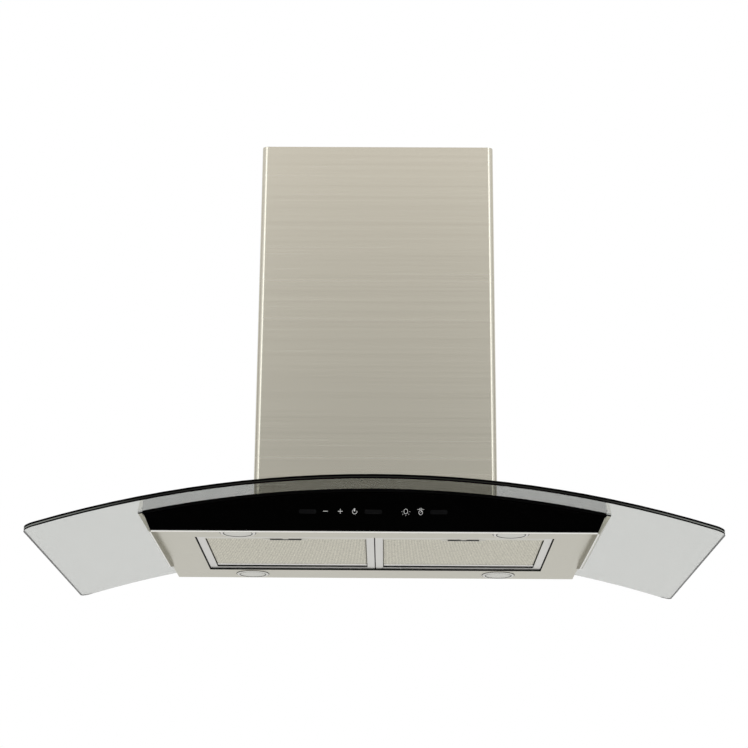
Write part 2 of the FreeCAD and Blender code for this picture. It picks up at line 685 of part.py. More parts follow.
def flange_screw_places():
    half = THROAT_WIDTH / 2 + THROAT_FLANGE / 2
    return [(side * half, y) for side in (-1, 1) for y in (-205.0, -128.0, -50.0)]


def wall_hole_places():
    return [(x * WALL_HOLE_PITCH_X / 2, z * WALL_HOLE_PITCH_Z / 2) for x in (-1, 1) for z in (-1, 1)]


def cover_screw_places():
    half = HOUSING_WIDTH / 2 - HOUSING_LIP / 2
    rows = [FLOOR_Z + HOUSING_HEIGHT * share for share in (0.08, 0.5, 0.92)]
    return [(side * half, z) for side in (-1, 1) for z in rows]


def motor_housing():
    """Back, sides, floor and roof folded from one sheet, with a lip round the open front."""
    half = HOUSING_WIDTH / 2
    shell = box(-half, half, -HOUSING_DEPTH, 0, FLOOR_Z, ROOF_Z)
    shell = shell.cut(box(-half + SHEET, half - SHEET, -HOUSING_DEPTH + SHEET, -SHEET,
                          FLOOR_Z + SHEET, ROOF_Z - SHEET))
    shell = shell.cut(box(-half + HOUSING_LIP, half - HOUSING_LIP, -HOUSING_DEPTH - 1, -HOUSING_DEPTH + 2,
                          FLOOR_Z + HOUSING_LIP, ROOF_Z - HOUSING_LIP))
    shell = shell.cut(box(-THROAT_WIDTH / 2, THROAT_WIDTH / 2, THROAT_FRONT_Y, THROAT_REAR_Y,
                          FLOOR_Z - 1, FLOOR_Z + SHEET + 1))
    inside = COLLAR_RADIUS - COLLAR_WALL
    shell = shell.cut(rod(inside, (0, COLLAR_Y, ROOF_Z - 5), (0, COLLAR_Y, ROOF_Z + 5)))
    for x, z in wall_hole_places():
        shell = shell.cut(rod(WALL_HOLE_RADIUS, (x, -SHEET - 1, z), (x, 1, z)))
    for x, z in cover_screw_places():
        shell = shell.cut(rod(SCREW_RADIUS, (x, -HOUSING_DEPTH - 1, z), (x, -HOUSING_DEPTH + 3, z)))
    for side, y, z in chimney_screw_places():
        shell = shell.cut(rod(SCREW_RADIUS, (side * (half - 3), y, z), (side * (half + 3), y, z)))
    for x, y in collar_screw_places():
        shell = shell.cut(rod(SCREW_RADIUS, (x, y, ROOF_Z - 3), (x, y, ROOF_Z + 1)))
    for x, y in flange_screw_places():
        shell = shell.cut(rod(SCREW_RADIUS, (x, y, FLOOR_Z - 1), (x, y, FLOOR_Z + 3)))
    return shell


def housing_cover():
    half = HOUSING_WIDTH / 2 - 1
    front = -HOUSING_DEPTH
    cover = rounded_block(-half, half, front - SHEET, front, FLOOR_Z + 1, ROOF_Z - 1, 4.0, V(0, 1, 0))
    bead = rounded_block(-half + 30, half - 30, front - SHEET - 3, front, FLOOR_Z + 30, ROOF_Z - 30,
                         20.0, V(0, 1, 0))
    hollow = rounded_block(-half + 31, half - 31, front - SHEET - 2, front + 1, FLOOR_Z + 31, ROOF_Z - 31,
                           19.0, V(0, 1, 0))
    cover = fuse(cover, bead).cut(hollow)
    for x, z in cover_screw_places():
        cover = cover.cut(rod(SCREW_RADIUS, (x, front - 5, z), (x, front + 1, z)))
    return cover


def air_throat():
    half = THROAT_WIDTH / 2
    top = FLOOR_Z + SHEET
    bottom = GLASS_TOP_Z - THROAT_BOTTOM_DROP
    flange = box(-half - THROAT_FLANGE, half + THROAT_FLANGE, THROAT_FRONT_Y + SHEET - 5,
                 THROAT_REAR_Y + THROAT_FLANGE, top, top + SHEET)
    skirt = box(-half, half, THROAT_FRONT_Y, THROAT_REAR_Y, bottom, top + SHEET)
    throat = fuse(flange, skirt).cut(box(-half + SHEET, half - SHEET, THROAT_FRONT_Y + SHEET,
                                         THROAT_REAR_Y - SHEET, bottom - 1, top + SHEET + 1))
    for side, y in throat_screw_places():
        throat = throat.cut(throat_screw_hole(side, y))
    for x, y in flange_screw_places():
        throat = throat.cut(rod(SCREW_RADIUS, (x, y, FLOOR_Z), (x, y, top + 3)))
    return throat


def rounded_outline(x0, x1, y0, y1, z, radius):
    """Eight edges: four sides and four corner arcs, from the middle of no side in particular."""
    arcs = []
    for cx, cy, start in ((x1 - radius, y1 - radius, 0), (x0 + radius, y1 - radius, 90),
                          (x0 + radius, y0 + radius, 180), (x1 - radius, y0 + radius, 270)):
        points = []
        for turn in (0, 45, 90):
            angle = math.radians(start + turn)
            points.append(V(cx + radius * math.cos(angle), cy + radius * math.sin(angle), z))
        arcs.append(points)
    edges = []
    for index, points in enumerate(arcs):
        edges.append(Part.Arc(*points).toShape())
        edges.append(Part.makeLine(points[2], arcs[(index + 1) % 4][0]))
    return Part.Wire(edges)


def circle_outline(x, y, z, radius):
    """The same eight edges on a circle: wide arcs facing the corners, narrow ones the sides."""
    edges = []
    for quarter in range(4):
        for start, end in ((10, 80), (80, 100)):
            points = []
            for share in (0, 0.5, 1):
                angle = math.radians(90 * quarter + start + (end - start) * share)
                points.append(V(x + radius * math.cos(angle), y + radius * math.sin(angle), z))
            edges.append(Part.Arc(*points).toShape())
    return Part.Wire(edges)


def outlet_adapter():
    """Lofted duct from the rectangular scroll outlet to the round collar."""
    low = SCROLL_OUTLET_Z
    high = ROOF_Z - SHEET
    inside = COLLAR_RADIUS - COLLAR_WALL
    wall = BELL_THICK
    outer = Part.makeLoft([
        rounded_outline(-SCROLL_HALF - wall, SCROLL_HALF + wall, TONGUE_Y - wall, OUTLET_Y + wall, low, 10.0),
        circle_outline(0, COLLAR_Y, high, inside + wall)], True, True)
    inner = Part.makeLoft([
        rounded_outline(-SCROLL_HALF, SCROLL_HALF, TONGUE_Y, OUTLET_Y, low, 8.0),
        circle_outline(0, COLLAR_Y, high, inside)], True, True)
    foot = rounded_block(-SCROLL_HALF - 9, SCROLL_HALF + 9, TONGUE_Y - 9, OUTLET_Y + 9, low, low + wall, 8.0)
    foot = foot.cut(rounded_block(-SCROLL_HALF, SCROLL_HALF, TONGUE_Y, OUTLET_Y, low - 1, low + wall + 1, 8.0))
    ring = tube(COLLAR_RADIUS + COLLAR_FLANGE, inside, (0, COLLAR_Y, high - wall), (0, COLLAR_Y, high))
    adapter = fuse(outer, foot, ring).cut(inner)
    for x, y in collar_screw_places():
        adapter = adapter.cut(rod(SCREW_RADIUS, (x, y, high - wall - 5), (x, y, high + 1)))
    return adapter


def outlet_collar():
    """Spigot for the exhaust duct, with a seat ledge for the flaps and two rod bosses."""
    inside = COLLAR_RADIUS - COLLAR_WALL
    base = (0, COLLAR_Y, ROOF_Z)
    spigot = tube(COLLAR_RADIUS, inside, base, (0, COLLAR_Y, ROOF_Z + COLLAR_HEIGHT))
    flange = tube(COLLAR_RADIUS + COLLAR_FLANGE, inside, base, (0, COLLAR_Y, ROOF_Z + 2))
    ledge_top = flap_bottom_z() - SEAT_CLEARANCE
    ledge = tube(inside + 0.5, inside - FLAP_SEAT, (0, COLLAR_Y, ledge_top - 2), (0, COLLAR_Y, ledge_top))
    collar = fuse(spigot, flange, ledge)
    collar = collar.cut(rod(ROD_RADIUS, (-COLLAR_RADIUS - 1, COLLAR_Y, ROD_Z), (COLLAR_RADIUS + 1, COLLAR_Y, ROD_Z)))
    for x, y in collar_screw_places():
        collar = collar.cut(rod(SCREW_RADIUS, (x, y, ROOF_Z - 1), (x, y, ROOF_Z + 3)))
    return collar


def collar_screw_places():
    reach = COLLAR_RADIUS + COLLAR_FLANGE / 2 + 0.5
    return [(reach * math.cos(math.radians(a)), COLLAR_Y + reach * math.sin(math.radians(a)))
            for a in (30, 150, 210, 330)]


def damper_rod():
    reach = COLLAR_RADIUS
    return rod(ROD_RADIUS, (-reach, COLLAR_Y, ROD_Z), (reach, COLLAR_Y, ROD_Z))


def flap_bottom_z():
    return ROD_Z - FLAP_THICK


def damper_flap(side):
    """Half-round flap on one side of the rod; its knuckles alternate with the other flap's."""
    inside = COLLAR_RADIUS - COLLAR_WALL - FLAP_CLEARANCE
    low = flap_bottom_z()
    disc = rod(inside, (0, COLLAR_Y, low), (0, COLLAR_Y, low + FLAP_THICK))
    knuckle_radius = ROD_RADIUS + 1.6
    keep = COLLAR_Y + side * (knuckle_radius + 1.0)
    far = COLLAR_Y + side * 2 * COLLAR_RADIUS
    leaf = disc.common(box(-COLLAR_RADIUS, COLLAR_RADIUS, min(keep, far), max(keep, far), low - 1, low + 5))
    pieces = []
    length = 12.0
    for step in range(4):
        start = -56.0 + 30.0 * step + (0 if side > 0 else 15.0)
        pieces.append(rod(knuckle_radius, (start, COLLAR_Y, ROD_Z), (start + length, COLLAR_Y, ROD_Z)))
        pieces.append(box(start, start + length, min(COLLAR_Y, keep + side), max(COLLAR_Y, keep + side),
                          low, low + FLAP_THICK))
    flap = fuse(leaf, *pieces)
    bore = rod(ROD_RADIUS + RUNNING_FIT, (-COLLAR_RADIUS, COLLAR_Y, ROD_Z), (COLLAR_RADIUS, COLLAR_Y, ROD_Z))
    return flap.cut(bore)


# ---- blower ---------------------------------------------------------------------------------
def fan_point(radius, angle, x=0.0):
    """Angle from +Y towards +Z, the way the rotor turns."""
    turn = math.radians(angle)
    return V(x, FAN_AXIS_Y + radius * math.cos(turn), FAN_Z + radius * math.sin(turn))


def scroll_radius(angle):
    share = (angle - TONGUE_ANGLE) / (360.0 - TONGUE_ANGLE)
    return SCROLL_START + (SCROLL_END - SCROLL_START) * share


def scroll_block(offset, x0, x1, outlet_top):
    """The volute: a spiral widening from the tongue to the outlet, joined to the outlet duct."""
    steps = 4
    span = (360.0 - TONGUE_ANGLE) / steps
    edges = []
    for index in range(steps):
        a0 = TONGUE_ANGLE + index * span
        points = [fan_point(scroll_radius(a) + offset, a, x0) for a in (a0, a0 + span / 2, a0 + span)]
        edges.append(Part.Arc(*points).toShape())
    centre = fan_point(0, 0, x0)
    edges.append(Part.makeLine(edges[-1].lastVertex().Point, centre))
    edges.append(Part.makeLine(centre, edges[0].firstVertex().Point))
    spiral = Part.Face(Part.Wire(edges)).extrude(V(x1 - x0, 0, 0))
    round_part = rod(SCROLL_START + offset, (x0, FAN_AXIS_Y, FAN_Z), (x1, FAN_AXIS_Y, FAN_Z))
    duct = box(x0, x1, TONGUE_Y - offset, OUTLET_Y + offset, FAN_Z, outlet_top)
    return fuse(spiral, round_part, duct)


def inlet_bell():
    """Quarter-round inlet lip on the right-hand side wall."""
    outer = SCROLL_HALF + SCROLL_WALL
    inner_r = BELL_RADIUS - BELL_THICK
    centre_r = INLET_RADIUS + BELL_RADIUS
    throat = outer - SCROLL_WALL
    diagonal = math.sqrt(0.5)
    edges = [
        Part.Arc(V(outer + BELL_RADIUS, centre_r, 0),
                 V(outer + BELL_RADIUS * diagonal, centre_r - BELL_RADIUS * diagonal, 0),
                 V(outer, INLET_RADIUS, 0)).toShape(),
        Part.makeLine(V(outer, INLET_RADIUS, 0), V(throat, INLET_RADIUS, 0)),
        Part.makeLine(V(throat, INLET_RADIUS, 0), V(throat, INLET_RADIUS + BELL_THICK, 0)),
        Part.makeLine(V(throat, INLET_RADIUS + BELL_THICK, 0), V(outer, INLET_RADIUS + BELL_THICK, 0)),
        Part.Arc(V(outer, INLET_RADIUS + BELL_THICK, 0),
                 V(outer + inner_r * diagonal, centre_r - inner_r * diagonal, 0),
                 V(outer + inner_r, centre_r, 0)).toShape(),
        Part.makeLine(V(outer + inner_r, centre_r, 0), V(outer + BELL_RADIUS, centre_r, 0))]
    ring = Part.Face(Part.Wire(edges)).revolve(V(0, 0, 0), V(1, 0, 0), 360)
    ring.translate(V(0, FAN_AXIS_Y, FAN_Z))
    return ring


def bush_angles():
    return (30.0, 150.0, 270.0)


def bush_reach():
    return INLET_RADIUS + BELL_RADIUS + BUSH_RADIUS + 2.0


def scroll_right():
    outer = SCROLL_HALF + SCROLL_WALL
    half = scroll_block(SCROLL_WALL, 0, outer, SCROLL_OUTLET_Z)
    rim = scroll_block(SCROLL_WALL + SCROLL_RIM, 0, 2.0, SCROLL_OUTLET_Z - 4)
    half = fuse(half, rim)
    half = half.cut(scroll_block(0, -1, SCROLL_HALF, SCROLL_OUTLET_Z + 1))
    half = half.cut(rod(INLET_RADIUS + 1, (SCROLL_HALF - 1, FAN_AXIS_Y, FAN_Z), (outer + 1, FAN_AXIS_Y, FAN_Z)))
    return fuse(half, inlet_bell())


def scroll_left():
    mirrored = scroll_right().mirror(V(0, 0, 0), V(1, 0, 0))
    for angle in bush_angles():
        start = fan_point(bush_reach(), angle, -SCROLL_HALF + 1)
        mirrored = mirrored.cut(Part.makeCylinder(SCREW_RADIUS, SCROLL_WALL + 2, start, V(-1, 0, 0)))
    return mirrored


def blade(x0, x1):
    """Forward-curved blade between the inner and outer rim of the rotor."""
    inner = ROTOR_INNER
    outer = ROTOR_RADIUS - 0.5
    middle = (inner + outer) / 2
    lead = [fan_point(inner, 0, x0), fan_point(middle, 2.0, x0), fan_point(outer, 9.0, x0)]
    trail = [fan_point(outer, 7.9, x0), fan_point(middle, 0.9, x0), fan_point(inner, -1.1, x0)]
    edges = [Part.Arc(*lead).toShape(), Part.makeLine(lead[2], trail[0]),
             Part.Arc(*trail).toShape(), Part.makeLine(trail[2], lead[0])]
    return Part.Face(Part.Wire(edges)).extrude(V(x1 - x0, 0, 0))


def blower_rotor():
    """Double-inlet squirrel cage: blades between two rings, carried by a centre disc and hub."""
    half = ROTOR_WIDTH / 2
    ring = 2.0
    pattern = blade(-half + ring / 2, half - ring / 2)
    blades = [rotate_x(pattern, 360.0 / BLADE_COUNT * k, FAN_AXIS_Y, FAN_Z) for k in range(BLADE_COUNT)]
    rings = [tube(ROTOR_RADIUS, ROTOR_INNER - 1, (x, FAN_AXIS_Y, FAN_Z), (x + ring, FAN_AXIS_Y, FAN_Z))
             for x in (-half, half - ring)]
    disc = rod(ROTOR_RADIUS - 1, (0, FAN_AXIS_Y, FAN_Z), (ring, FAN_AXIS_Y, FAN_Z))
    hub = Part.makeCone(16.0, 11.0, 20.0, V(ring, FAN_AXIS_Y, FAN_Z), V(1, 0, 0))
    rotor = fuse(disc, hub, *rings, *blades)
    return rotor.cut(rod(SHAFT_RADIUS, (-5, FAN_AXIS_Y, FAN_Z), (40, FAN_AXIS_Y, FAN_Z)))


def motor_shaft():
    shaft = rod(SHAFT_RADIUS, (motor_end_x() + 1, FAN_AXIS_Y, FAN_Z), (30, FAN_AXIS_Y, FAN_Z))
    corners = [fan_point(7.5, 60 * k, 22) for k in range(6)]
    nut = Part.Face(Part.makePolygon(corners + corners[:1])).extrude(V(6, 0, 0))
    return fuse(shaft, nut)


def motor_end_x():
    """Outer end of the motor's rear boss, where the bracket holds it."""
    return -(SCROLL_HALF + SCROLL_WALL + BELL_RADIUS + 1.0)


def motor_body():
    """Motor can with rounded shoulders and a bearing boss at each end."""
    rear = motor_end_x()
    profile = [(rear, 5.0), (rear, 16.0), (rear + 5, 16.0), (rear + 5, MOTOR_RADIUS - 8),
               (rear + 10, MOTOR_RADIUS), (-11, MOTOR_RADIUS), (-7, MOTOR_RADIUS - 8), (-7, 14.0),
               (-3, 14.0), (-3, 5.0)]
    corners = [V(x, r, 0) for x, r in profile]
    can = Part.Face(Part.makePolygon(corners + corners[:1])).revolve(V(0, 0, 0), V(1, 0, 0), 360)
    can.translate(V(0, FAN_AXIS_Y, FAN_Z))
    slots = []
    for k in range(12):
        slot = box(-18, -14, FAN_AXIS_Y + MOTOR_RADIUS - 2.5, FAN_AXIS_Y + MOTOR_RADIUS + 1, FAN_Z - 5, FAN_Z + 5)
        slots.append(rotate_x(slot, 30 * k, FAN_AXIS_Y, FAN_Z))
    can = can.cut(group(slots))
    for angle in motor_screw_angles():
        start = fan_point(12.0, angle, rear - 1)
        can = can.cut(Part.makeCylinder(SCREW_RADIUS, 5.5, start, V(1, 0, 0)))
    for x in bearing_places():
        can = can.cut(rod(MOTOR_BEARING_RADIUS, (x, FAN_AXIS_Y, FAN_Z), (x + 7, FAN_AXIS_Y, FAN_Z)))
    return can


def motor_screw_angles():
    return (90.0, 210.0, 330.0)


def bearing_places():
    return (motor_end_x() + 2, -11.0)


def motor_bearings():
    return group([tube(MOTOR_BEARING_RADIUS, SHAFT_RADIUS + RUNNING_FIT, (x, FAN_AXIS_Y, FAN_Z),
                       (x + 7, FAN_AXIS_Y, FAN_Z)) for x in bearing_places()])


def motor_bracket():
    """Three-armed bracket across the left inlet that carries the motor."""
    inner = motor_end_x()
    outer = inner - BRACKET_THICK
    plate = rod(30.0, (outer, FAN_AXIS_Y, FAN_Z), (inner, FAN_AXIS_Y, FAN_Z))
    arms = []
    for angle in bush_angles():
        arm = box(outer, inner, FAN_AXIS_Y, FAN_AXIS_Y + bush_reach(), FAN_Z - 8, FAN_Z + 8)
        arm = arm.fuse(rod(8.0, (outer, FAN_AXIS_Y + bush_reach(), FAN_Z), (inner, FAN_AXIS_Y + bush_reach(), FAN_Z)))
        hole = rod(SCREW_RADIUS, (outer - 1, FAN_AXIS_Y + bush_reach(), FAN_Z), (inner + 1, FAN_AXIS_Y + bush_reach(), FAN_Z))
        arms.append(rotate_x(arm.cut(hole), angle, FAN_AXIS_Y, FAN_Z))
    bracket = fuse(plate, *arms)
    for angle in motor_screw_angles():
        start = fan_point(12.0, angle, outer - 1)
        bracket = bracket.cut(Part.makeCylinder(SCREW_RADIUS, BRACKET_THICK + 2, start, V(1, 0, 0)))
    return bracket.cut(rod(6.0, (outer - 1, FAN_AXIS_Y, FAN_Z), (inner + 1, FAN_AXIS_Y, FAN_Z)))


def motor_bushes():
    start = -(SCROLL_HALF + SCROLL_WALL)
    bushes = []
    for angle in bush_angles():
        near = fan_point(bush_reach(), angle, start)
        far = fan_point(bush_reach(), angle, motor_end_x())
        bushes.append(tube(BUSH_RADIUS, SCREW_RADIUS, tuple(near), tuple(far)))
    return group(bushes)


# ---- electrical box -------------------------------------------------------------------------
def box_frame():
    """Inner face, outer face, front, rear, bottom and top of the electrical box."""
    inner = -HOUSING_WIDTH / 2
    front = BOX_REAR_Y - BOX_LENGTH
    low = GLASS_TOP_Z + BOX_RISE
    return inner, inner - BOX_DEPTH, front, BOX_REAR_Y, low, low + BOX_HEIGHT


def control_box():
    inner, outer, front, rear, low, high = box_frame()
    tub = rounded_block(outer, inner, front, rear, low, high, 5.0, V(1, 0, 0))
    tub = tub.cut(box(outer - 1, inner - BOX_WALL, front + BOX_WALL, rear - BOX_WALL, low + BOX_WALL, high - BOX_WALL))
    x, y = gland_place()
    return tub.cut(rod(6.0, (x, y, high - BOX_WALL - 1), (x, y, high + 1)))


def control_box_lid():
    _, outer, front, rear, low, high = box_frame()
    lid = rounded_block(outer - BOX_WALL, outer, front, rear, low, high, 5.0, V(1, 0, 0))
    spigot = box(outer, outer + 2, front + BOX_WALL + 0.2, rear - BOX_WALL - 0.2, low + BOX_WALL + 0.2, high - BOX_WALL - 0.2)
    hollow = box(outer - 0.01, outer + 3, front + 2 * BOX_WALL, rear - 2 * BOX_WALL, low + 2 * BOX_WALL, high - 2 * BOX_WALL)
    return fuse(lid, spigot.cut(hollow))


def power_board():
    inner, _, front, rear, low, high = box_frame()
    x = inner - BOX_WALL
    board = box(x - 5 - BOARD_THICK, x - 5, front + 6, rear - 6, low + 6, high - 24)
    posts = [rod(2.5, (x, y, z), (x - 5, y, z)) for y in (front + 12, rear - 12) for z in (low + 12, high - 30)]
    transformer = box(x - 15, x - 5 - BOARD_THICK, front + 14, front + 44, low + 12, low + 40)
    relays = [box(x - 15, x - 5 - BOARD_THICK, front + 60 + 18 * k, front + 72 + 18 * k, low + 14, low + 32)
              for k in range(2)]
    return fuse(board, transformer, *relays, *posts)


def run_capacitor():
    inner, _, front, rear, low, high = box_frame()
    radius = (BOX_DEPTH - 2 * BOX_WALL) / 2 - 1.0
    x = inner - BOX_WALL - radius
    z = high - BOX_WALL - radius
    return rod(radius, (x, front + 30, z), (x, front + 75, z))


def gland_place():
    inner, outer, _, rear, _, _ = box_frame()
    return (inner + outer) / 2, rear - 25.0


def cable_gland():
    """Cord entry: threaded neck through the box wall, hexagon and dome nut."""
    high = box_frame()[5]
    x, y = gland_place()
    neck = rod(6.0, (x, y, high - BOX_WALL - 1), (x, y, high))
    corners = [(x + 10.0 * math.cos(math.radians(60 * k)), y + 10.0 * math.sin(math.radians(60 * k)))
               for k in range(6)]
    hexagon = prism_z(corners, high, high + 6)
    dome = Part.makeCone(8.5, 6.0, 14.0, V(x, y, high + 6), V(0, 0, 1))
    return fuse(neck, hexagon, dome).cut(rod(GLAND_BORE, (x, y, high - 10), (x, y, high + 30)))


# ---- chimney --------------------------------------------------------------------------------
def cover_block(inset, z0, z1):
    """Outline of a chimney cover, its two front edges bent to a radius, drawn in from the outside."""
    half = CHIMNEY_WIDTH / 2 - inset
    block = box(-half, half, CHIMNEY_FRONT_Y + inset, -SHEET, z0, z1)
    edges = [edge for edge in block.Edges
             if abs(edge.tangentAt(0).z) > 0.99 and edge.CenterOfMass.y < CHIMNEY_FRONT_Y / 2]
    return block.makeFillet(max(CHIMNEY_BEND - inset, 1.0), edges)


def lower_chimney():
    top = CHIMNEY_TOP_Z
    low = GLASS_TOP_Z - BODY_HEIGHT
    cover = cover_block(0, low, top).cut(cover_block(SHEET, low - 1, top + 1))
    returns = []
    for side in (-1, 1):
        edge = side * CHIMNEY_WIDTH / 2
        inner = side * (CHIMNEY_WIDTH / 2 - CHIMNEY_RETURN)
        returns.append(box(min(edge, inner), max(edge, inner), -2 * SHEET, -SHEET, low, top))
    cover = fuse(cover, *returns).cut(arch(GLASS_RADIUS + GLASS_SEAT))
    for side, y, z in chimney_screw_places():
        edge = side * CHIMNEY_WIDTH / 2
        cover = cover.cut(rod(SCREW_RADIUS, (edge - 3, y, z), (edge + 3, y, z)))
    return cover


def chimney_screw_places():
    return [(side, y, GLASS_TOP_Z + CHIMNEY_SCREW_RISE) for side in (-1, 1) for y in CHIMNEY_SCREW_YS]


def chimney_brackets():
    """Z-shaped brackets from the housing sides out to the foot of the lower cover."""
    inner = HOUSING_WIDTH / 2
    outer = CHIMNEY_WIDTH / 2 - SHEET
    low = GLASS_TOP_Z + 14.0
    high = GLASS_TOP_Z + UPPER_BOTTOM_RISE - SEAT_CLEARANCE
    points = [(inner, low), (inner, high), (outer, high), (outer, low)]
    shape = prism_y(folded_strip(points, -1.5), -210.0, -70.0)
    pieces = []
    for side in (-1, 1):
        piece = shape if side > 0 else shape.mirror(V(0, 0, 0), V(1, 0, 0))
        for _, y, z in chimney_screw_places():
            piece = piece.cut(rod(SCREW_RADIUS, (side * (inner - 3), y, z), (side * (outer + 3), y, z)))
        pieces.append(piece)
    return group(pieces)


def upper_chimney():
    inset = SHEET + CHIMNEY_FIT
    low = GLASS_TOP_Z + UPPER_BOTTOM_RISE
    top = CHIMNEY_TOP_Z - 1.0
    cover = cover_block(inset, low, top).cut(cover_block(inset + SHEET, low - 1, top + 1))
    rear = box(-CHIMNEY_WIDTH, CHIMNEY_WIDTH, -2 * SHEET - 1.5, 0, low - 1, top + 1)
    return cover.cut(rear)


def upper_bracket():
    """Bracket that fixes the top of the upper cover to the wall; it stays clear of the lower returns."""
    half = CHIMNEY_WIDTH / 2 - SHEET - CHIMNEY_FIT - SHEET
    strip = CHIMNEY_WIDTH / 2 - CHIMNEY_RETURN - 4.0
    right = [(strip, -1.5), (strip, -24.0), (half, -24.0), (half, -60.0)]
    arm = folded_strip(right, -1.5)
    z0 = CHIMNEY_TOP_Z - 32.0
    z1 = CHIMNEY_TOP_Z - 8.0
    right_arm = prism_z(arm, z0, z1)
    left_arm = right_arm.mirror(V(0, 0, 0), V(1, 0, 0))
    back = box(-strip, strip, -1.5, 0, z0, z1)
    bracket = fuse(back, right_arm, left_arm)
    for side in (-1, 1):
        x = side * BRACKET_HOLE_PITCH / 2
        z = (z0 + z1) / 2
        bracket = bracket.cut(rod(BRACKET_HOLE_RADIUS, (x, -5, z), (x, 1, z)))
    return bracket


# ---- screws ---------------------------------------------------------------------------------
def screw(tip, head_seat):
    """Pan-head screw from its tip to the face under its head."""
    axis = V(*head_seat) - V(*tip)
    end = V(*head_seat) + axis.normalize() * SCREW_HEAD_HEIGHT
    return fuse(rod(SCREW_RADIUS, tip, head_seat), rod(SCREW_HEAD_RADIUS, head_seat, tuple(end)))


def m4_screws():
    screws = []
    for x, z in cover_screw_places():
        seat = -HOUSING_DEPTH - SHEET
        screws.append(screw((x, seat + 6, z), (x, seat, z)))
    for side, y in throat_screw_places():
        z = throat_screw_z()
        inside = side * (THROAT_WIDTH / 2 - SHEET)
        screws.append(screw((inside + side * 6, y, z), (inside, y, z)))
    for x, y in collar_screw_places():
        screws.append(screw((x, y, ROOF_Z - SHEET - 3), (x, y, ROOF_Z + 2)))
    for side, y, z in chimney_screw_places():
        outer = side * CHIMNEY_WIDTH / 2
        screws.append(screw((outer - side * 6, y, z), (outer, y, z)))
        inner = side * HOUSING_WIDTH / 2
        screws.append(screw((inner - side * 5, y, z), (inner + side * 1.5, y, z)))
    for x, y in flange_screw_places():
        screws.append(screw((x, y, FLOOR_Z - 2), (x, y, FLOOR_Z + 2 * SHEET)))
    bracket_x = motor_end_x() - BRACKET_THICK
    for angle in bush_angles():
        seat = fan_point(bush_reach(), angle, bracket_x)
        tip = fan_point(bush_reach(), angle, -SCROLL_HALF)
        screws.append(screw(tuple(tip), tuple(seat)))
    for angle in motor_screw_angles():
        seat = fan_point(12.0, angle, bracket_x)
        tip = fan_point(12.0, angle, motor_end_x() + 4.5)
        screws.append(screw(tuple(tip), tuple(seat)))
    return group(screws)


# ---- write every piece ----------------------------------------------------------------------
os.makedirs("parts", exist_ok=True)

for builder in (glass_canopy, glass_gasket, glass_pads, glass_screws, glass_sleeves, glass_nuts,
                body_shell, underside_panel, top_plate, control_panel, panel_seal, panel_tape,
                display_modules, touch_board, board_cover, motor_housing, housing_cover, air_throat,
                scroll_left, scroll_right, outlet_adapter, outlet_collar, damper_rod, blower_rotor,
                motor_shaft, motor_body, motor_bearings, motor_bracket, motor_bushes, control_box,
                control_box_lid, power_board, run_capacitor, cable_gland, lower_chimney,
                chimney_brackets, upper_chimney, upper_bracket, m4_screws):
    save(builder.__name__, builder())

for place, x, y in lamp_places():
    save("lamp_bezel_" + place, lamp_bezel(x, y))
    save("lamp_lens_" + place, lamp_lens(x, y))
save("lamp_bodies", group([lamp_body(x, y) for _, x, y in lamp_places()]))

for (side, _), centre in zip(SIDES, filter_centres()):
    save("filter_frame_" + side, filter_frame(centre))
    save("filter_mesh_" + side, filter_mesh(centre))
    save("filter_core_" + side, filter_core(centre))
    save("filter_latch_" + side, filter_latch(centre))
    save("latch_spring_" + side, latch_spring(centre))

save("damper_flap_front", damper_flap(-1))
save("damper_flap_rear", damper_flap(1))
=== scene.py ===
import math
import bpy
import numpy as np
from mathutils import Matrix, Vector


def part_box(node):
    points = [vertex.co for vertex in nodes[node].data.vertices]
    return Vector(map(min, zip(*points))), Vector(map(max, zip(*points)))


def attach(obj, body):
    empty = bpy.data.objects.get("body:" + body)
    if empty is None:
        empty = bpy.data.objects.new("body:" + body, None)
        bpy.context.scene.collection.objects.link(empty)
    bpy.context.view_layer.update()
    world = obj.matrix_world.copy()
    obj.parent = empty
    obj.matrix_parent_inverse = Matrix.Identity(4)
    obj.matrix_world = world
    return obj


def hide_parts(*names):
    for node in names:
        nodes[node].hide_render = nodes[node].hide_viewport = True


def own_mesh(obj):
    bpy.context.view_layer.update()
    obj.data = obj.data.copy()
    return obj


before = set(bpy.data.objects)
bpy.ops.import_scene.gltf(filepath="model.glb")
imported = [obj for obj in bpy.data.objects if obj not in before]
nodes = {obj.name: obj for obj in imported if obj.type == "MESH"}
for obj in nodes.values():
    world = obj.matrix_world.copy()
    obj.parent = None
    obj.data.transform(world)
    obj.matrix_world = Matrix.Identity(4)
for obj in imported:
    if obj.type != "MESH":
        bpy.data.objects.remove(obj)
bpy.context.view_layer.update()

MM = 0.001

# ---- camera -----------------------------------------------------------------
# The hood is seen from the cook's side and well below it, through a long lens,
# so that the underside shows as a narrow band and the canopy as a thin bow.
EYE_AT = (0.0173, -2.7317, -0.6931)
EYE_LENS = 86.44                # for a sensor 36 mm wide
EYE_TURN = 0.00823              # radians to the left
EYE_PITCH = 0.30113             # radians up from level
EYE_ROLL = 0.00747
eye = bpy.data.cameras.new("camera")
eye.sensor_width = 36.0
eye.lens = EYE_LENS
eye.clip_start = 0.05
eye.clip_end = 400.0            # past the far edge of the floor
camera = bpy.data.objects.new("camera", eye)
bpy.context.scene.collection.objects.link(camera)
turn = (Matrix.Rotation(EYE_TURN, 4, "Z") @ Matrix.Rotation(math.pi / 2 + EYE_PITCH, 4, "X")
        @ Matrix.Rotation(EYE_ROLL, 4, "Z"))
camera.matrix_world = Matrix.Translation(EYE_AT) @ turn
bpy.context.scene.camera = camera
bpy.context.scene.view_settings.view_transform = "Standard"

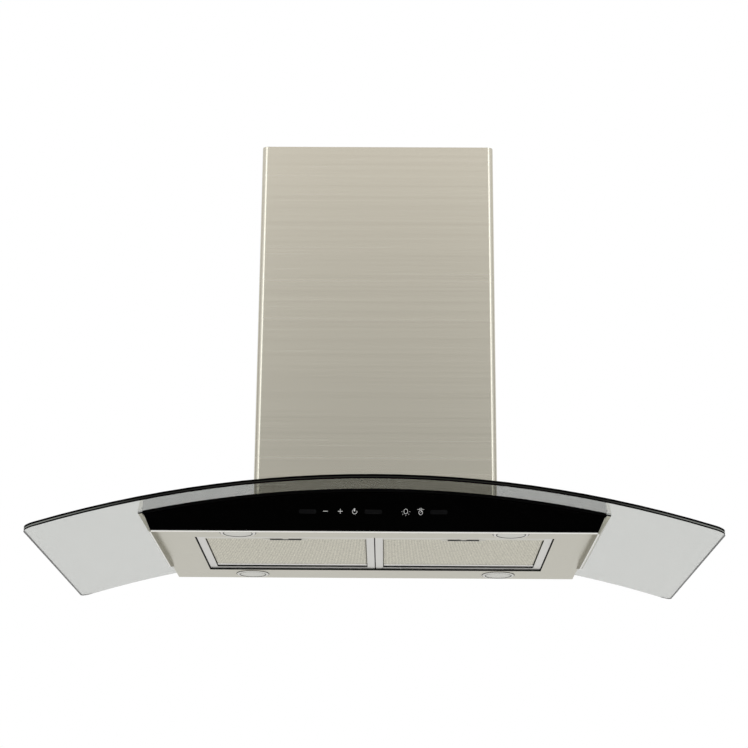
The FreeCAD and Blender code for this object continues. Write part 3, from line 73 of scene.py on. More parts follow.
# ---- studio -----------------------------------------------------------------
# A white room whose walls ahead of the hood and at its sides are greyer, so that brushed
# steel has its mid tone. Two tall soft boxes beside the camera draw its bright bent edges,
# and a wide soft light hangs above. The pale floor lies as far down as a kitchen's.
ROOM_STRENGTH = 0.8
WALL_COLOUR = (0.95, 0.95, 0.95, 1)
WALL_STARTS, WALL_FULL = 0.72, 0.93     # how squarely a direction faces the grey walls
SIDE_WALL_SHARE = 0.93                  # the side walls begin a little later than the one ahead
ROOM_LEVELS = ((0.2, (0.44, 0.45, 0.445)), (0.29, (0.505, 0.508, 0.498)),
               (0.35, (0.50, 0.498, 0.487)), (0.5, (1.4, 1.32, 1.27)))
BOX_SIDE, BOX_FRONT, BOX_UP = 1.35, 2.75, 1.3
BOX_FACES = 2.5                         # depth from the boxes to the point that both face
FLOOR_Z = -1.85
FLOOR_REACH = 150

world = bpy.data.worlds.new("studio")
bpy.context.scene.world = world
world.use_nodes = True
tree = world.node_tree
tree.nodes.clear()


def link(tree, start, end):
    """Joins two sockets."""
    tree.links.new(start, end)


def worked_out(tree, operation, *terms):
    """One step of arithmetic; each term is a number or another node's socket."""
    step = tree.nodes.new("ShaderNodeMath")
    step.operation = operation
    for socket, term in zip(step.inputs, terms):
        if isinstance(term, float):
            socket.default_value = term
        else:
            link(tree, term, socket)
    return step.outputs[0]


def eased(tree, value, low, high, at_low=0.0, at_high=1.0):
    """A smooth step: at_low where the value is low, at_high where it is high."""
    step = tree.nodes.new("ShaderNodeMapRange")
    step.interpolation_type = "SMOOTHSTEP"
    step.inputs["From Min"].default_value = low
    step.inputs["From Max"].default_value = high
    step.inputs["To Min"].default_value = at_low
    step.inputs["To Max"].default_value = at_high
    link(tree, value, step.inputs["Value"])
    return step.outputs["Result"]


def blended(tree, factor, first, second):
    """A colour between two, by the factor; each colour is written out or a socket."""
    mix = tree.nodes.new("ShaderNodeMix")
    mix.data_type = "RGBA"
    link(tree, factor, mix.inputs["Factor"])
    for letter, colour in (("A", first), ("B", second)):
        if isinstance(colour, tuple):
            mix.inputs[letter].default_value = colour
        else:
            link(tree, colour, mix.inputs[letter])
    return mix.outputs["Result"]


way = tree.nodes.new("ShaderNodeTexCoord")
split = tree.nodes.new("ShaderNodeSeparateXYZ")
link(tree, way.outputs["Generated"], split.inputs[0])
sideways = worked_out(tree, "MULTIPLY", worked_out(tree, "ABSOLUTE", split.outputs["X"]), SIDE_WALL_SHARE)
ahead = worked_out(tree, "MULTIPLY", split.outputs["Y"], -1.0)
facing = worked_out(tree, "MAXIMUM", sideways, ahead)
walled = eased(tree, facing, WALL_STARTS, WALL_FULL, 1.0, 0.0)
height = tree.nodes.new("ShaderNodeValToRGB")
lowest, highest = height.color_ramp.elements
lowest.position, highest.position = ROOM_LEVELS[0][0], ROOM_LEVELS[-1][0]
lowest.color, highest.color = (*ROOM_LEVELS[0][1], 1), (*ROOM_LEVELS[-1][1], 1)
for position, level in ROOM_LEVELS[1:-1]:
    height.color_ramp.elements.new(position).color = (*level, 1)
link(tree, split.outputs["Z"], height.inputs["Fac"])
lit = tree.nodes.new("ShaderNodeBackground")
lit.inputs["Strength"].default_value = ROOM_STRENGTH
link(tree, blended(tree, walled, height.outputs["Color"], WALL_COLOUR), lit.inputs["Color"])
white = tree.nodes.new("ShaderNodeBackground")
white.inputs["Color"].default_value = (1, 1, 1, 1)
path = tree.nodes.new("ShaderNodeLightPath")
seen = worked_out(tree, "MAXIMUM", path.outputs["Is Camera Ray"], path.outputs["Is Transmission Ray"])
backdrop = tree.nodes.new("ShaderNodeMixShader")
link(tree, seen, backdrop.inputs["Fac"])
link(tree, lit.outputs[0], backdrop.inputs[1])
link(tree, white.outputs[0], backdrop.inputs[2])
out = tree.nodes.new("ShaderNodeOutputWorld")
link(tree, backdrop.outputs[0], out.inputs["Surface"])


def soft_light(name, width, depth, energy, colour, at):
    """A rectangular area light; at is its place and turn."""
    light = bpy.data.lights.new(name, "AREA")
    light.shape = "RECTANGLE"
    light.size = width
    light.size_y = depth
    light.energy = energy
    light.color = colour
    lamp = bpy.data.objects.new(name, light)
    bpy.context.scene.collection.objects.link(lamp)
    lamp.matrix_world = at


for side in (-1, 1):
    aim = Matrix.Rotation(side * math.atan2(BOX_SIDE, BOX_FACES), 4, "Z") @ Matrix.Rotation(math.pi / 2, 4, "X")
    soft_light("tall_soft_box", 0.88, 2.0, 7.5, (0.93, 0.97, 1.0),
               Matrix.Translation((side * BOX_SIDE, -BOX_FRONT, BOX_UP)) @ aim)
soft_light("overhead_soft_light", 3.0, 2.0, 24.0, (1, 1, 1), Matrix.Translation((0, -0.6, 2.6)))


def surface(name, points, faces):
    """A new object in the scene, its mesh from a list of points and a list of faces."""
    mesh = bpy.data.meshes.new(name)
    mesh.from_pydata(points, [], faces)
    made = bpy.data.objects.new(name, mesh)
    bpy.context.scene.collection.objects.link(made)
    return made


floor_corners = [(u * FLOOR_REACH, v * FLOOR_REACH, FLOOR_Z) for u, v in ((-1, -1), (1, -1), (1, 1), (-1, 1))]
floor = surface("floor", floor_corners, [(0, 1, 2, 3)])
pale = bpy.data.materials.new("pale_floor")
pale.use_nodes = True
pale.node_tree.nodes["Principled BSDF"].inputs["Base Color"].default_value = (0.95, 0.95, 0.94, 1)
pale.node_tree.nodes["Principled BSDF"].inputs["Roughness"].default_value = 0.9
floor.data.materials.append(pale)

# ---- chimney covers ---------------------------------------------------------
# Two covers folded from stainless sheet, brushed across before folding, the upper
# one sliding inside the lower. The grain is a fraction of a millimetre deep and
# runs level; the front edges are bent to a radius and catch the soft boxes.
STEEL = (0.78, 0.742, 0.635)
LEVEL_GRAIN = (4, 4, 1400)              # cycles a metre along x, y and z


def effect(name, inputs, outputs):
    """A new node group with these named sockets; returns it with its first and its last node."""
    group = bpy.data.node_groups.new(name, "ShaderNodeTree")
    for sockets, way in ((inputs, "INPUT"), (outputs, "OUTPUT")):
        for label, kind in sockets.items():
            group.interface.new_socket(label, in_out=way, socket_type="NodeSocket" + kind)
    return group, group.nodes.new("NodeGroupInput"), group.nodes.new("NodeGroupOutput")


def grain_group():
    """Long noise streaks: a fine one across the brushing and a slow one for tone, mixed to a mask;
    the fine streaks, as a height, tilt the normal."""
    group, start, end = effect("brushed_grain", {"Across": "Vector"}, {"Mask": "Float", "Normal": "Vector"})
    place = group.nodes.new("ShaderNodeTexCoord")
    scaled = group.nodes.new("ShaderNodeVectorMath")
    scaled.operation = "MULTIPLY"
    link(group, place.outputs["Object"], scaled.inputs[0])
    link(group, start.outputs["Across"], scaled.inputs[1])
    streaks = []
    for scale in (1.0, 0.12):
        noise = group.nodes.new("ShaderNodeTexNoise")
        noise.inputs["Scale"].default_value = scale
        noise.inputs["Detail"].default_value = 3.0
        link(group, scaled.outputs[0], noise.inputs["Vector"])
        streaks.append(noise.outputs["Fac"])
    mixed = group.nodes.new("ShaderNodeMix")
    mixed.inputs["Factor"].default_value = 0.6
    link(group, streaks[0], mixed.inputs["A"])
    link(group, streaks[1], mixed.inputs["B"])
    bump = group.nodes.new("ShaderNodeBump")
    bump.inputs["Distance"].default_value = 0.05 * MM
    bump.inputs["Strength"].default_value = 0.25
    link(group, streaks[0], bump.inputs["Height"])
    link(group, mixed.outputs["Result"], end.inputs["Mask"])
    link(group, bump.outputs["Normal"], end.inputs["Normal"])
    return group


BRUSHED = grain_group()


def principled(name, colour, roughness, metallic=0.0, specular=0.5):
    """A new material; returns it with its node tree and its shader."""
    made = bpy.data.materials.new(name)
    made.use_nodes = True
    shader = made.node_tree.nodes["Principled BSDF"]
    shader.inputs["Base Color"].default_value = (*colour, 1)
    shader.inputs["Roughness"].default_value = roughness
    shader.inputs["Metallic"].default_value = metallic
    shader.inputs["Specular IOR Level"].default_value = specular
    return made, made.node_tree, shader


def spread(tree, mask, low, high, target):
    """Runs a mask between two colours, or two numbers, into a socket."""
    if isinstance(low, tuple):
        link(tree, blended(tree, mask, (*low, 1), (*high, 1)), target)
    else:
        run = tree.nodes.new("ShaderNodeMapRange")
        run.inputs["To Min"].default_value = low
        run.inputs["To Max"].default_value = high
        link(tree, mask, run.inputs["Value"])
        link(tree, run.outputs["Result"], target)


def tinted(tree, mask, colour, tone, target):
    """Lets a mask darken and lighten a colour by a share of itself."""
    dark = tuple(c * (1 - tone) for c in colour)
    light = tuple(min(1.0, c * (1 + tone)) for c in colour)
    spread(tree, mask, dark, light, target)


def brushed(name, colour, roughness, across, tone=0.05):
    """Brushed metal: the grain varies colour a little, roughness more, and the normal."""
    made, tree, shader = principled(name, colour, roughness, metallic=1.0)
    grain = tree.nodes.new("ShaderNodeGroup")
    grain.node_tree = BRUSHED
    grain.inputs["Across"].default_value = across
    tinted(tree, grain.outputs["Mask"], colour, tone, shader.inputs["Base Color"])
    spread(tree, grain.outputs["Mask"], roughness - 0.05, roughness + 0.05, shader.inputs["Roughness"])
    link(tree, grain.outputs["Normal"], shader.inputs["Normal"])
    return made


def finish(made, *names):
    """Gives CAD nodes their material."""
    for name in names:
        mesh = nodes[name].data
        mesh.materials.clear()
        mesh.materials.append(made)


finish(brushed("brushed_steel_level", STEEL, 0.26, LEVEL_GRAIN, tone=0.075), "lower_chimney", "upper_chimney")

# ---- body and underside -----------------------------------------------------
# One welded shell of the same stainless sheet, flared at the sides, and a separate underside
# panel with a low lip, both brushed left to right. Their steel is painted darker than the
# chimney's, as shade on the downward-facing underside. The folds of the lip get a painted
# highlight, its walls painted shade, and the upturned rim round the filter opening is painted
# almost black inside, as shade.
# Painted shade: the chimney's steel, darker, because the underside faces down.
DECK_STEEL_PAINTED_DARKER = (0.625, 0.604, 0.515)
DECK_GRAIN = (4, 1400, 1400)
FACES = 0.5                             # a normal with more than this along an axis faces that way
LIP_FROM_X = 290 * MM                   # the folds of the side lips lie outside this
LIP_DEPTH = 6 * MM                      # and at least this far below the deck
deck_finish_painted_shade = brushed("brushed_steel_deck_painted_shade", DECK_STEEL_PAINTED_DARKER, 0.29, DECK_GRAIN)
# Painted shade: a darker copy of the deck steel on the inner walls of the lip.
shaded_lip = brushed("brushed_steel_shaded", (0.37, 0.355, 0.30), 0.4, DECK_GRAIN, tone=0.08)
# Painted highlight: a lighter copy of the deck steel on the folds of the lip and on the strip under the control
# panel.
painted_highlight_fold = brushed("painted_highlight_fold", (0.97, 0.96, 0.93), 0.28, DECK_GRAIN, tone=0.03)
# Painted shade: steel painted almost black inside the upturned rim and at the rear of the filter frames.
painted_shade_inside = brushed("steel_inside_painted_shade", (0.035, 0.034, 0.032), 0.6, DECK_GRAIN, tone=0.2)


def face_data(mesh):
    """Normals and centres of a mesh's faces, as arrays."""
    count = len(mesh.polygons)
    normals = np.empty(3 * count)
    centres = np.empty(3 * count)
    mesh.polygons.foreach_get("normal", normals)
    mesh.polygons.foreach_get("center", centres)
    return normals.reshape(-1, 3), centres.reshape(-1, 3)


finish(deck_finish_painted_shade, "body_shell", "underside_panel")
deck_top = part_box("lamp_bezel_front_left")[1][2] + 0.2 * MM
FOLD, SHADED, INSIDE_SHADE = 1, 2, 3            # material slots after the deck's own
for name in ("body_shell", "underside_panel"):
    mesh = nodes[name].data
    for second_finish in (painted_highlight_fold, shaded_lip, painted_shade_inside):
        mesh.materials.append(second_finish)
    normals, centres = face_data(mesh)
    in_lip = (centres[:, 2] < deck_top - LIP_DEPTH) & (np.abs(centres[:, 0]) > LIP_FROM_X)
    index = np.where((normals[:, 2] < -FACES) & in_lip, FOLD, 0)
    if name == "underside_panel":
        index[(np.abs(normals[:, 0]) > FACES) & (centres[:, 2] < deck_top)] = SHADED
        index[centres[:, 2] > deck_top] = INSIDE_SHADE
    mesh.polygons.foreach_set("material_index", index.astype(np.int32))

# ---- glass canopy -----------------------------------------------------------
# Bent 6 mm grey glass. Its ground and polished front edge is painted almost black, as shade,
# with a painted line of light along the middle, paler towards the tips, where light runs inside the pane.
ARCH_Z = -1.618                         # height of the arch's axis
INNER_RADIUS = 1.482
# Painted shade for the edge, and painted light for its thread, dim in the middle and pale at the tips.
EDGE_PAINTED_SHADE = (0.0008, 0.0008, 0.0008, 1)
THREAD_DARK = (0.018, 0.018, 0.016, 1)
THREAD_PALE = (0.28, 0.29, 0.27, 1)
THREAD_DEEP = 2.6 * MM                  # from the lower face to the thread
THREAD_CORE, THREAD_HALF = 0.3 * MM, 1.1 * MM
TIPS_FROM, TIPS_FULL = 0.28, 0.46       # the thread pales between these distances from the middle
FRONT_Y = -0.3                          # only the front edge lies further out than this
pane, tree, shader = principled("grey_glass", (0.593, 0.605, 0.582), 0.0)
shader.inputs["Transmission Weight"].default_value = 1.0
shader.inputs["IOR"].default_value = 1.5
edge, tree, shader = principled("polished_glass_edge", (0.02, 0.022, 0.022), 0.2, specular=0.03)
place = tree.nodes.new("ShaderNodeTexCoord")
split = tree.nodes.new("ShaderNodeSeparateXYZ")
link(tree, place.outputs["Object"], split.inputs[0])
from_axis = tree.nodes.new("ShaderNodeCombineXYZ")
link(tree, split.outputs["X"], from_axis.inputs["X"])
link(tree, worked_out(tree, "SUBTRACT", split.outputs["Z"], ARCH_Z), from_axis.inputs["Z"])
radius = tree.nodes.new("ShaderNodeVectorMath")
radius.operation = "LENGTH"
link(tree, from_axis.outputs[0], radius.inputs[0])
off_centre = worked_out(tree, "SUBTRACT", radius.outputs["Value"], INNER_RADIUS + THREAD_DEEP)
thread = eased(tree, worked_out(tree, "ABSOLUTE", off_centre), THREAD_CORE, THREAD_HALF, 1.0, 0.0)
tips = eased(tree, worked_out(tree, "ABSOLUTE", split.outputs["X"]), TIPS_FROM, TIPS_FULL)
painted_thread_light = blended(tree, tips, THREAD_DARK, THREAD_PALE)
link(tree, blended(tree, thread, EDGE_PAINTED_SHADE, painted_thread_light), shader.inputs["Base Color"])
mesh = nodes["glass_canopy"].data
mesh.materials.clear()
mesh.materials.append(pane)
mesh.materials.append(edge)
normals, centres = face_data(mesh)
front_edge = (normals[:, 1] < -FACES) & (centres[:, 1] < FRONT_Y)
mesh.polygons.foreach_set("material_index", front_edge.astype(np.int32))

# ---- what clamps the glass --------------------------------------------------
# Black foam under the pane, nylon sleeves through it, and dome-headed screws with nuts
# below. The same black rubber backs the control panel and carries the motor.


def skin_group():
    """Noise as a mask; the same noise, as a height, tilts the normal."""
    group, start, end = effect("fine_skin", {"Scale": "Float", "Depth": "Float", "Reach": "Float"},
                               {"Mask": "Float", "Normal": "Vector"})
    place = group.nodes.new("ShaderNodeTexCoord")
    noise = group.nodes.new("ShaderNodeTexNoise")
    noise.inputs["Detail"].default_value = 4.0
    link(group, place.outputs["Object"], noise.inputs["Vector"])
    link(group, start.outputs["Scale"], noise.inputs["Scale"])
    bump = group.nodes.new("ShaderNodeBump")
    link(group, start.outputs["Depth"], bump.inputs["Strength"])
    link(group, start.outputs["Reach"], bump.inputs["Distance"])
    link(group, noise.outputs["Fac"], bump.inputs["Height"])
    link(group, noise.outputs["Fac"], end.inputs["Mask"])
    link(group, bump.outputs["Normal"], end.inputs["Normal"])
    return group


SKIN = skin_group()


def mottled(name, colour, roughness, scale, tone=0.15, depth=0.3, reach=0.2 * MM, metallic=0.0, specular=0.5):
    """A moulded, cast or coated surface: noise varies tone and roughness and raises a fine skin."""
    made, tree, shader = principled(name, colour, roughness, metallic, specular)
    skin = tree.nodes.new("ShaderNodeGroup")
    skin.node_tree = SKIN
    skin.inputs["Scale"].default_value = scale
    skin.inputs["Depth"].default_value = depth
    skin.inputs["Reach"].default_value = reach
    tinted(tree, skin.outputs["Mask"], colour, tone, shader.inputs["Base Color"])
    spread(tree, skin.outputs["Mask"], max(0.02, roughness - 0.06), min(1.0, roughness + 0.06),
           shader.inputs["Roughness"])
    link(tree, skin.outputs["Normal"], shader.inputs["Normal"])
    return made


RUBBER = mottled("black_rubber", (0.018, 0.018, 0.018), 0.6, 900, specular=0.3)
NYLON = mottled("white_nylon", (0.80, 0.80, 0.77), 0.45, 300, tone=0.04)
ZINC_SCREW = mottled("zinc_plated_screw", (0.62, 0.61, 0.58), 0.32, 1500, tone=0.08, metallic=1.0)
CHROME = mottled("polished_chrome", (0.82, 0.82, 0.82), 0.1, 400, tone=0.02, depth=0.05, metallic=1.0)
SEAL = mottled("black_foam_seal", (0.002, 0.002, 0.002), 0.75, 900, specular=0.03)
finish(RUBBER, "glass_gasket", "glass_pads", "panel_tape", "motor_bushes")
finish(SEAL, "panel_seal")
finish(NYLON, "glass_sleeves")
finish(CHROME, "glass_screws")
finish(ZINC_SCREW, "glass_nuts", "m4_screws", "damper_rod", "motor_shaft")

# ---- control panel ----------------------------------------------------------
# Black glass printed from behind, with three display windows and five touch
# symbols. The symbols are line drawings about 8 mm high.
PANEL_Y = -430.5 * MM
SYMBOL_Z = -167.0 * MM
black = mottled("black_glass", (0.0006, 0.0006, 0.0006), 0.06, 60, tone=0.1, depth=0.0, specular=0.012)
finish(black, "control_panel")


def outline_plate(name, rings, y):
    """Flat plates facing the cook: each ring is a closed outline of (x, z) points in metres, or a pair of
    outlines, outer and inner, joined by a band."""
    points = []
    faces = []
    for ring in rings:
        start = len(points)
        if isinstance(ring, tuple):
            outer, inner = ring
            n = len(outer)
            points += [(x, y, z) for x, z in outer] + [(x, y, z) for x, z in inner]
            faces += [(start + k, start + (k + 1) % n, start + n + (k + 1) % n, start + n + k)
                      for k in range(n)]
        else:
            points += [(x, y, z) for x, z in ring]
            faces.append(tuple(range(start, start + len(ring))))
    return surface(name, points, faces)


def circle(x, z, radius, n=28, first=0.0, last=360.0):
    """Points on a circle, anticlockwise as the cook sees it."""
    turn = np.radians(np.linspace(first, last, n, endpoint=last - first < 360))
    return [(x + radius * math.cos(a), z + radius * math.sin(a)) for a in turn]


def oval(x, z, half_width, half_height):
    """A circle stretched to two half axes."""
    return [(x + u * half_width, z + v * half_height) for u, v in circle(0, 0, 1.0)]


def bar(x, z, length, width, angle=0.0):
    """A straight stroke centred at x, z."""
    c, s = math.cos(math.radians(angle)), math.sin(math.radians(angle))
    corners = ((-length, -width), (length, -width), (length, width), (-length, width))
    return [(x + (u * c - v * s) / 2, z + (u * s + v * c) / 2) for u, v in corners]


def stroke_arc(x, z, radius, width, first, last, n=20):
    """An arc drawn with a stroke of even width."""
    outer = circle(x, z, radius + width / 2, n, first, last)
    inner = circle(x, z, radius - width / 2, n, first, last)
    return outer + inner[::-1]


def rounded(x, z, width, height, radius):
    """A rectangle with rounded corners."""
    points = []
    for sx, sz, first in ((1, 1, 0), (-1, 1, 90), (-1, -1, 180), (1, -1, 270)):
        across, up = x + sx * (width / 2 - radius), z + sz * (height / 2 - radius)
        points += circle(across, up, radius, 5, first, first + 90)
    return points


def drawn_strip(name, profile, half):
    """A straight strip: a profile of (y, z) points carried along x from -half to +half, and closed
    at both ends."""
    y, z = np.array(profile).T
    n = len(profile)
    points = np.concatenate([np.stack((np.full(n, x), y, z), axis=1) for x in (-half, half)])
    k = np.arange(n)
    quads = np.stack((k, (k + 1) % n, n + (k + 1) % n, n + k), axis=1).tolist()
    return surface(name, points.tolist(), quads + [list(range(n - 1, -1, -1)), list(range(n, 2 * n))])


TRIM_HALF = 292.5 * MM
TRIM_FRONT, TRIM_SLOPE, TRIM_REAR = 4.1 * MM, 5.5 * MM, 5.95 * MM   # behind the panel's face
TRIM_LAP = 0.05 * MM                    # into the panel above and the lip below
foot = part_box("control_panel")[0][2] - TRIM_LAP
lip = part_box("body_shell")[0][2] + TRIM_LAP
# The strip behind the panel's lower edge carries the painted highlight of the folds.
trim = drawn_strip("panel_edge_trim", [(PANEL_Y + TRIM_FRONT, foot), (PANEL_Y + TRIM_SLOPE, lip),
                                       (PANEL_Y + TRIM_REAR, lip), (PANEL_Y + TRIM_REAR, foot)], TRIM_HALF)
trim.data.materials.append(painted_highlight_fold)
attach(trim, "hood")

STROKE = 0.55 * MM
MINUS_X, PLUS_X, POWER_X, LAMP_X, FAN_X = (x * MM for x in (-64, -44.5, -25.6, 41.4, 60.9))
PRINT_PROUD = 0.05 * MM
BULB_Z = SYMBOL_Z + 0.3 * MM
HOOD_Z = SYMBOL_Z + 2.9 * MM            # the fan symbol's cover, over its round body
BODY_Z = SYMBOL_Z - 1.2 * MM
rings = [bar(MINUS_X, SYMBOL_Z, 6.2 * MM, 0.75 * MM),
         bar(PLUS_X, SYMBOL_Z, 6.4 * MM, 0.75 * MM),
         bar(PLUS_X, SYMBOL_Z, 6.4 * MM, 0.6 * MM, 90),
         stroke_arc(POWER_X, SYMBOL_Z - 0.5 * MM, 3.0 * MM, STROKE, 75, 385),
         [(POWER_X + u * MM, SYMBOL_Z + v * MM)
          for u, v in ((-1.9, 2.6), (-0.2, -0.3), (0.5, 0.3), (0.5, 4.0), (-0.4, 4.0))],
         (oval(LAMP_X, BULB_Z, 2.75 * MM, 3.5 * MM), oval(LAMP_X, BULB_Z, 2.2 * MM, 2.95 * MM))]
for angle in (180, 222, 270, 318, 360):
    a = math.radians(angle)
    rings.append(bar(LAMP_X + 5.2 * MM * math.cos(a), SYMBOL_Z + 5.2 * MM * math.sin(a),
                     1.2 * MM, 0.45 * MM, angle))
rings += [stroke_arc(FAN_X, HOOD_Z, 1.8 * MM, 0.45 * MM, 0, 180),
          bar(FAN_X, HOOD_Z, 9.0 * MM, 0.5 * MM),
          (oval(FAN_X, BODY_Z, 2.7 * MM, 3.3 * MM), oval(FAN_X, BODY_Z, 2.15 * MM, 2.75 * MM)),
          bar(FAN_X + 0.6 * MM, SYMBOL_Z - 0.1 * MM, 2.4 * MM, 0.6 * MM, 50)]
symbols = outline_plate("touch_symbols", rings, PANEL_Y - PRINT_PROUD)
ink = mottled("printed_symbol_white", (0.86, 0.86, 0.86), 0.5, 900, tone=0.05, depth=0.0)
symbols.data.materials.append(ink)
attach(symbols, "hood")

WINDOW_XS = (-87.3, -1.2, 84.7)
WINDOW_WIDE, WINDOW_HIGH, WINDOW_CORNER = 23.0 * MM, 6.0 * MM, 2.2 * MM
windows = outline_plate("display_windows",
                        [rounded(x * MM, SYMBOL_Z - 0.5 * MM, WINDOW_WIDE, WINDOW_HIGH, WINDOW_CORNER)
                         for x in WINDOW_XS], PANEL_Y - 0.03 * MM)
smoke = mottled("smoked_window", (0.007, 0.007, 0.0075), 0.12, 300, tone=0.1, depth=0.0, specular=0.02)
windows.data.materials.append(smoke)
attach(windows, "hood")

# ---- boards and electrical box ----------------------------------------------
# Circuit boards with a green resist: the power board in a white moulded box beside the
# blower, the touch board behind the panel under a black cover.
BOARD = mottled("green_circuit_board", (0.03, 0.16, 0.08), 0.4, 250, tone=0.5)
WHITE_MOULDED = mottled("white_moulding", (0.76, 0.76, 0.73), 0.42, 700, tone=0.04)
BLACK_MOULDED = mottled("black_moulding", (0.03, 0.03, 0.032), 0.45, 800, tone=0.15, specular=0.4)
finish(BOARD, "touch_board", "power_board")
finish(WHITE_MOULDED, "control_box", "control_box_lid", "run_capacitor")
finish(BLACK_MOULDED, "board_cover", "cable_gland", "outlet_collar", "damper_flap_front",
       "damper_flap_rear", "scroll_left", "scroll_right", "outlet_adapter")
finish(smoke, "display_modules")

# ---- lamps ------------------------------------------------------------------
# Four round lamps pressed into the underside: a bright bezel on a thin black rubber seal, which
# also paints the shadow line round the bezel, and a frosted lens in a groove painted dark as shade.
frosted = mottled("frosted_lens", (0.66, 0.655, 0.61), 0.4, 1200, tone=0.08, depth=0.5)
satin = mottled("satin_chrome", (0.74, 0.73, 0.69), 0.24, 900, tone=0.03, depth=0.1, metallic=1.0)


def turned(name, profile, x, y):
    """A ring turned round the upright axis at x, y: each profile point (radius, height) swept round
    a circle in 64 steps."""
    steps = 64
    angle = np.linspace(0, 2 * np.pi, steps, endpoint=False)
    radius, z = np.array(profile).T
    points = np.stack((x + radius[:, None] * np.cos(angle), y + radius[:, None] * np.sin(angle),
                       np.repeat(z[:, None], steps, axis=1)), axis=2).reshape(-1, 3)
    rows = len(profile)
    r, s = np.meshgrid(np.arange(rows), np.arange(steps), indexing="ij")
    turn = (r + 1) % rows
    onward = (s + 1) % steps
    quads = np.stack((r * steps + s, turn * steps + s, turn * steps + onward, r * steps + onward), axis=2)
    return surface(name, points.tolist(), quads.reshape(-1, 4).tolist())


SEAL_IN, SEAL_OUT, SEAL_DEEP = 22.8 * MM, 24.4 * MM, 0.35 * MM
GROOVE_IN, GROOVE_OUT = 18.8 * MM, 19.7 * MM
for place in ("front_left", "front_right", "rear_left", "rear_right"):
    finish(satin, "lamp_bezel_" + place)
    finish(frosted, "lamp_lens_" + place)
    low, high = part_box("lamp_bezel_" + place)
    x = (low[0] + high[0]) / 2
    y = (low[1] + high[1]) / 2
    deck = high[2]
    # Black rubber under the bezel, which also paints the shadow line between bezel and deck.
    seal = turned("lamp_seal_and_shadow_" + place, [(SEAL_IN, deck), (SEAL_OUT, deck), (SEAL_OUT, deck - SEAL_DEEP),
                                         (SEAL_IN, deck - SEAL_DEEP)], x, y)
    seal.data.materials.append(RUBBER)
    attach(seal, "hood")
    # Painted shade: a black ring down in the groove between bezel and lens.
    groove = turned("lamp_groove_shade_" + place, [(GROOVE_IN, deck - 1.38 * MM), (GROOVE_OUT, deck - 1.43 * MM),
                                             (GROOVE_OUT, deck - 1.33 * MM), (GROOVE_IN, deck - 1.3 * MM)],
                    x, y)
    groove.data.materials.append(RUBBER)
    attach(groove, "hood")

# ---- grease filters ---------------------------------------------------------
# Folded aluminium frames round a pack of expanded mesh painted almost black, as shade. The face
# layers are slit and stretched sheet, the lower one crimped and curled up where it meets the frame.
# The latch is a black moulding with a finger pull, held forward by a leaf spring.
ALUMINIUM = mottled("bright_aluminium", (0.765, 0.755, 0.725), 0.3, 500, tone=0.03, depth=0.15, metallic=1.0)
STRAND_TILT = 0.42 * MM                 # from a strand's low side to its high side


def expanded_sheet(name, x0, x1, y0, y1, z, cell_x, cell_y, strand, crimp, hem, faces_up=False):
    """A flat lattice of diamonds: in the grid of half cells every cell holds one diagonal, and
    neighbours slope opposite ways. A strand is one narrow quad along its diagonal, its front side
    lifted by the tilt. The sheet's height adds a cosine crimp in x, and a hem that curls up towards
    the left, right and rear sides."""
    columns = int(round((x1 - x0) / (cell_x / 2)))
    rows = int(round((y1 - y0) / (cell_y / 2)))
    i, j = np.meshgrid(np.arange(columns), np.arange(rows), indexing="ij")
    i = i.ravel().astype(float)
    j = j.ravel().astype(float)
    rising = (i + j) % 2 == 0
    start = np.stack((i, np.where(rising, j, j + 1)), axis=1)
    end = np.stack((i + 1, np.where(rising, j + 1, j)), axis=1)
    step = np.array(((x1 - x0) / columns, (y1 - y0) / rows))
    start = start * step + (x0, y0)
    end = end * step + (x0, y0)
    along = (end - start) / np.linalg.norm(end - start, axis=1)[:, None]
    side = np.stack((-along[:, 1], along[:, 0]), axis=1)
    side *= np.sign(side[:, 1])[:, None] * strand / 2
    corners = np.stack((start - side, end - side, end + side, start + side), axis=1)
    lift = np.array((0.5, 0.5, -0.5, -0.5)) * STRAND_TILT
    x = corners[..., 0]
    y = corners[..., 1]
    near = np.minimum(np.minimum(x - x0, x1 - x), y1 - y)
    curl = np.clip(1 - near / hem, 0, 1) ** 2 * hem * 0.9
    height = z + lift + crimp * (1 - np.cos(2 * np.pi * (x - x0) / (cell_x * 3))) / 2 + curl
    points = np.concatenate((corners, height[..., None]), axis=2).reshape(-1, 3)
    count = len(start)
    quads = np.arange(4 * count).reshape(-1, 4)[:, ::1 if faces_up else -1]
    mesh = bpy.data.meshes.new(name)
    mesh.vertices.add(4 * count)
    mesh.vertices.foreach_set("co", points.ravel())
    mesh.loops.add(4 * count)
    mesh.loops.foreach_set("vertex_index", quads.ravel())
    mesh.polygons.add(count)
    mesh.polygons.foreach_set("loop_start", np.arange(0, 4 * count, 4))
    mesh.update(calc_edges=True)
    piece = bpy.data.objects.new(name, mesh)
    bpy.context.scene.collection.objects.link(piece)
    return piece


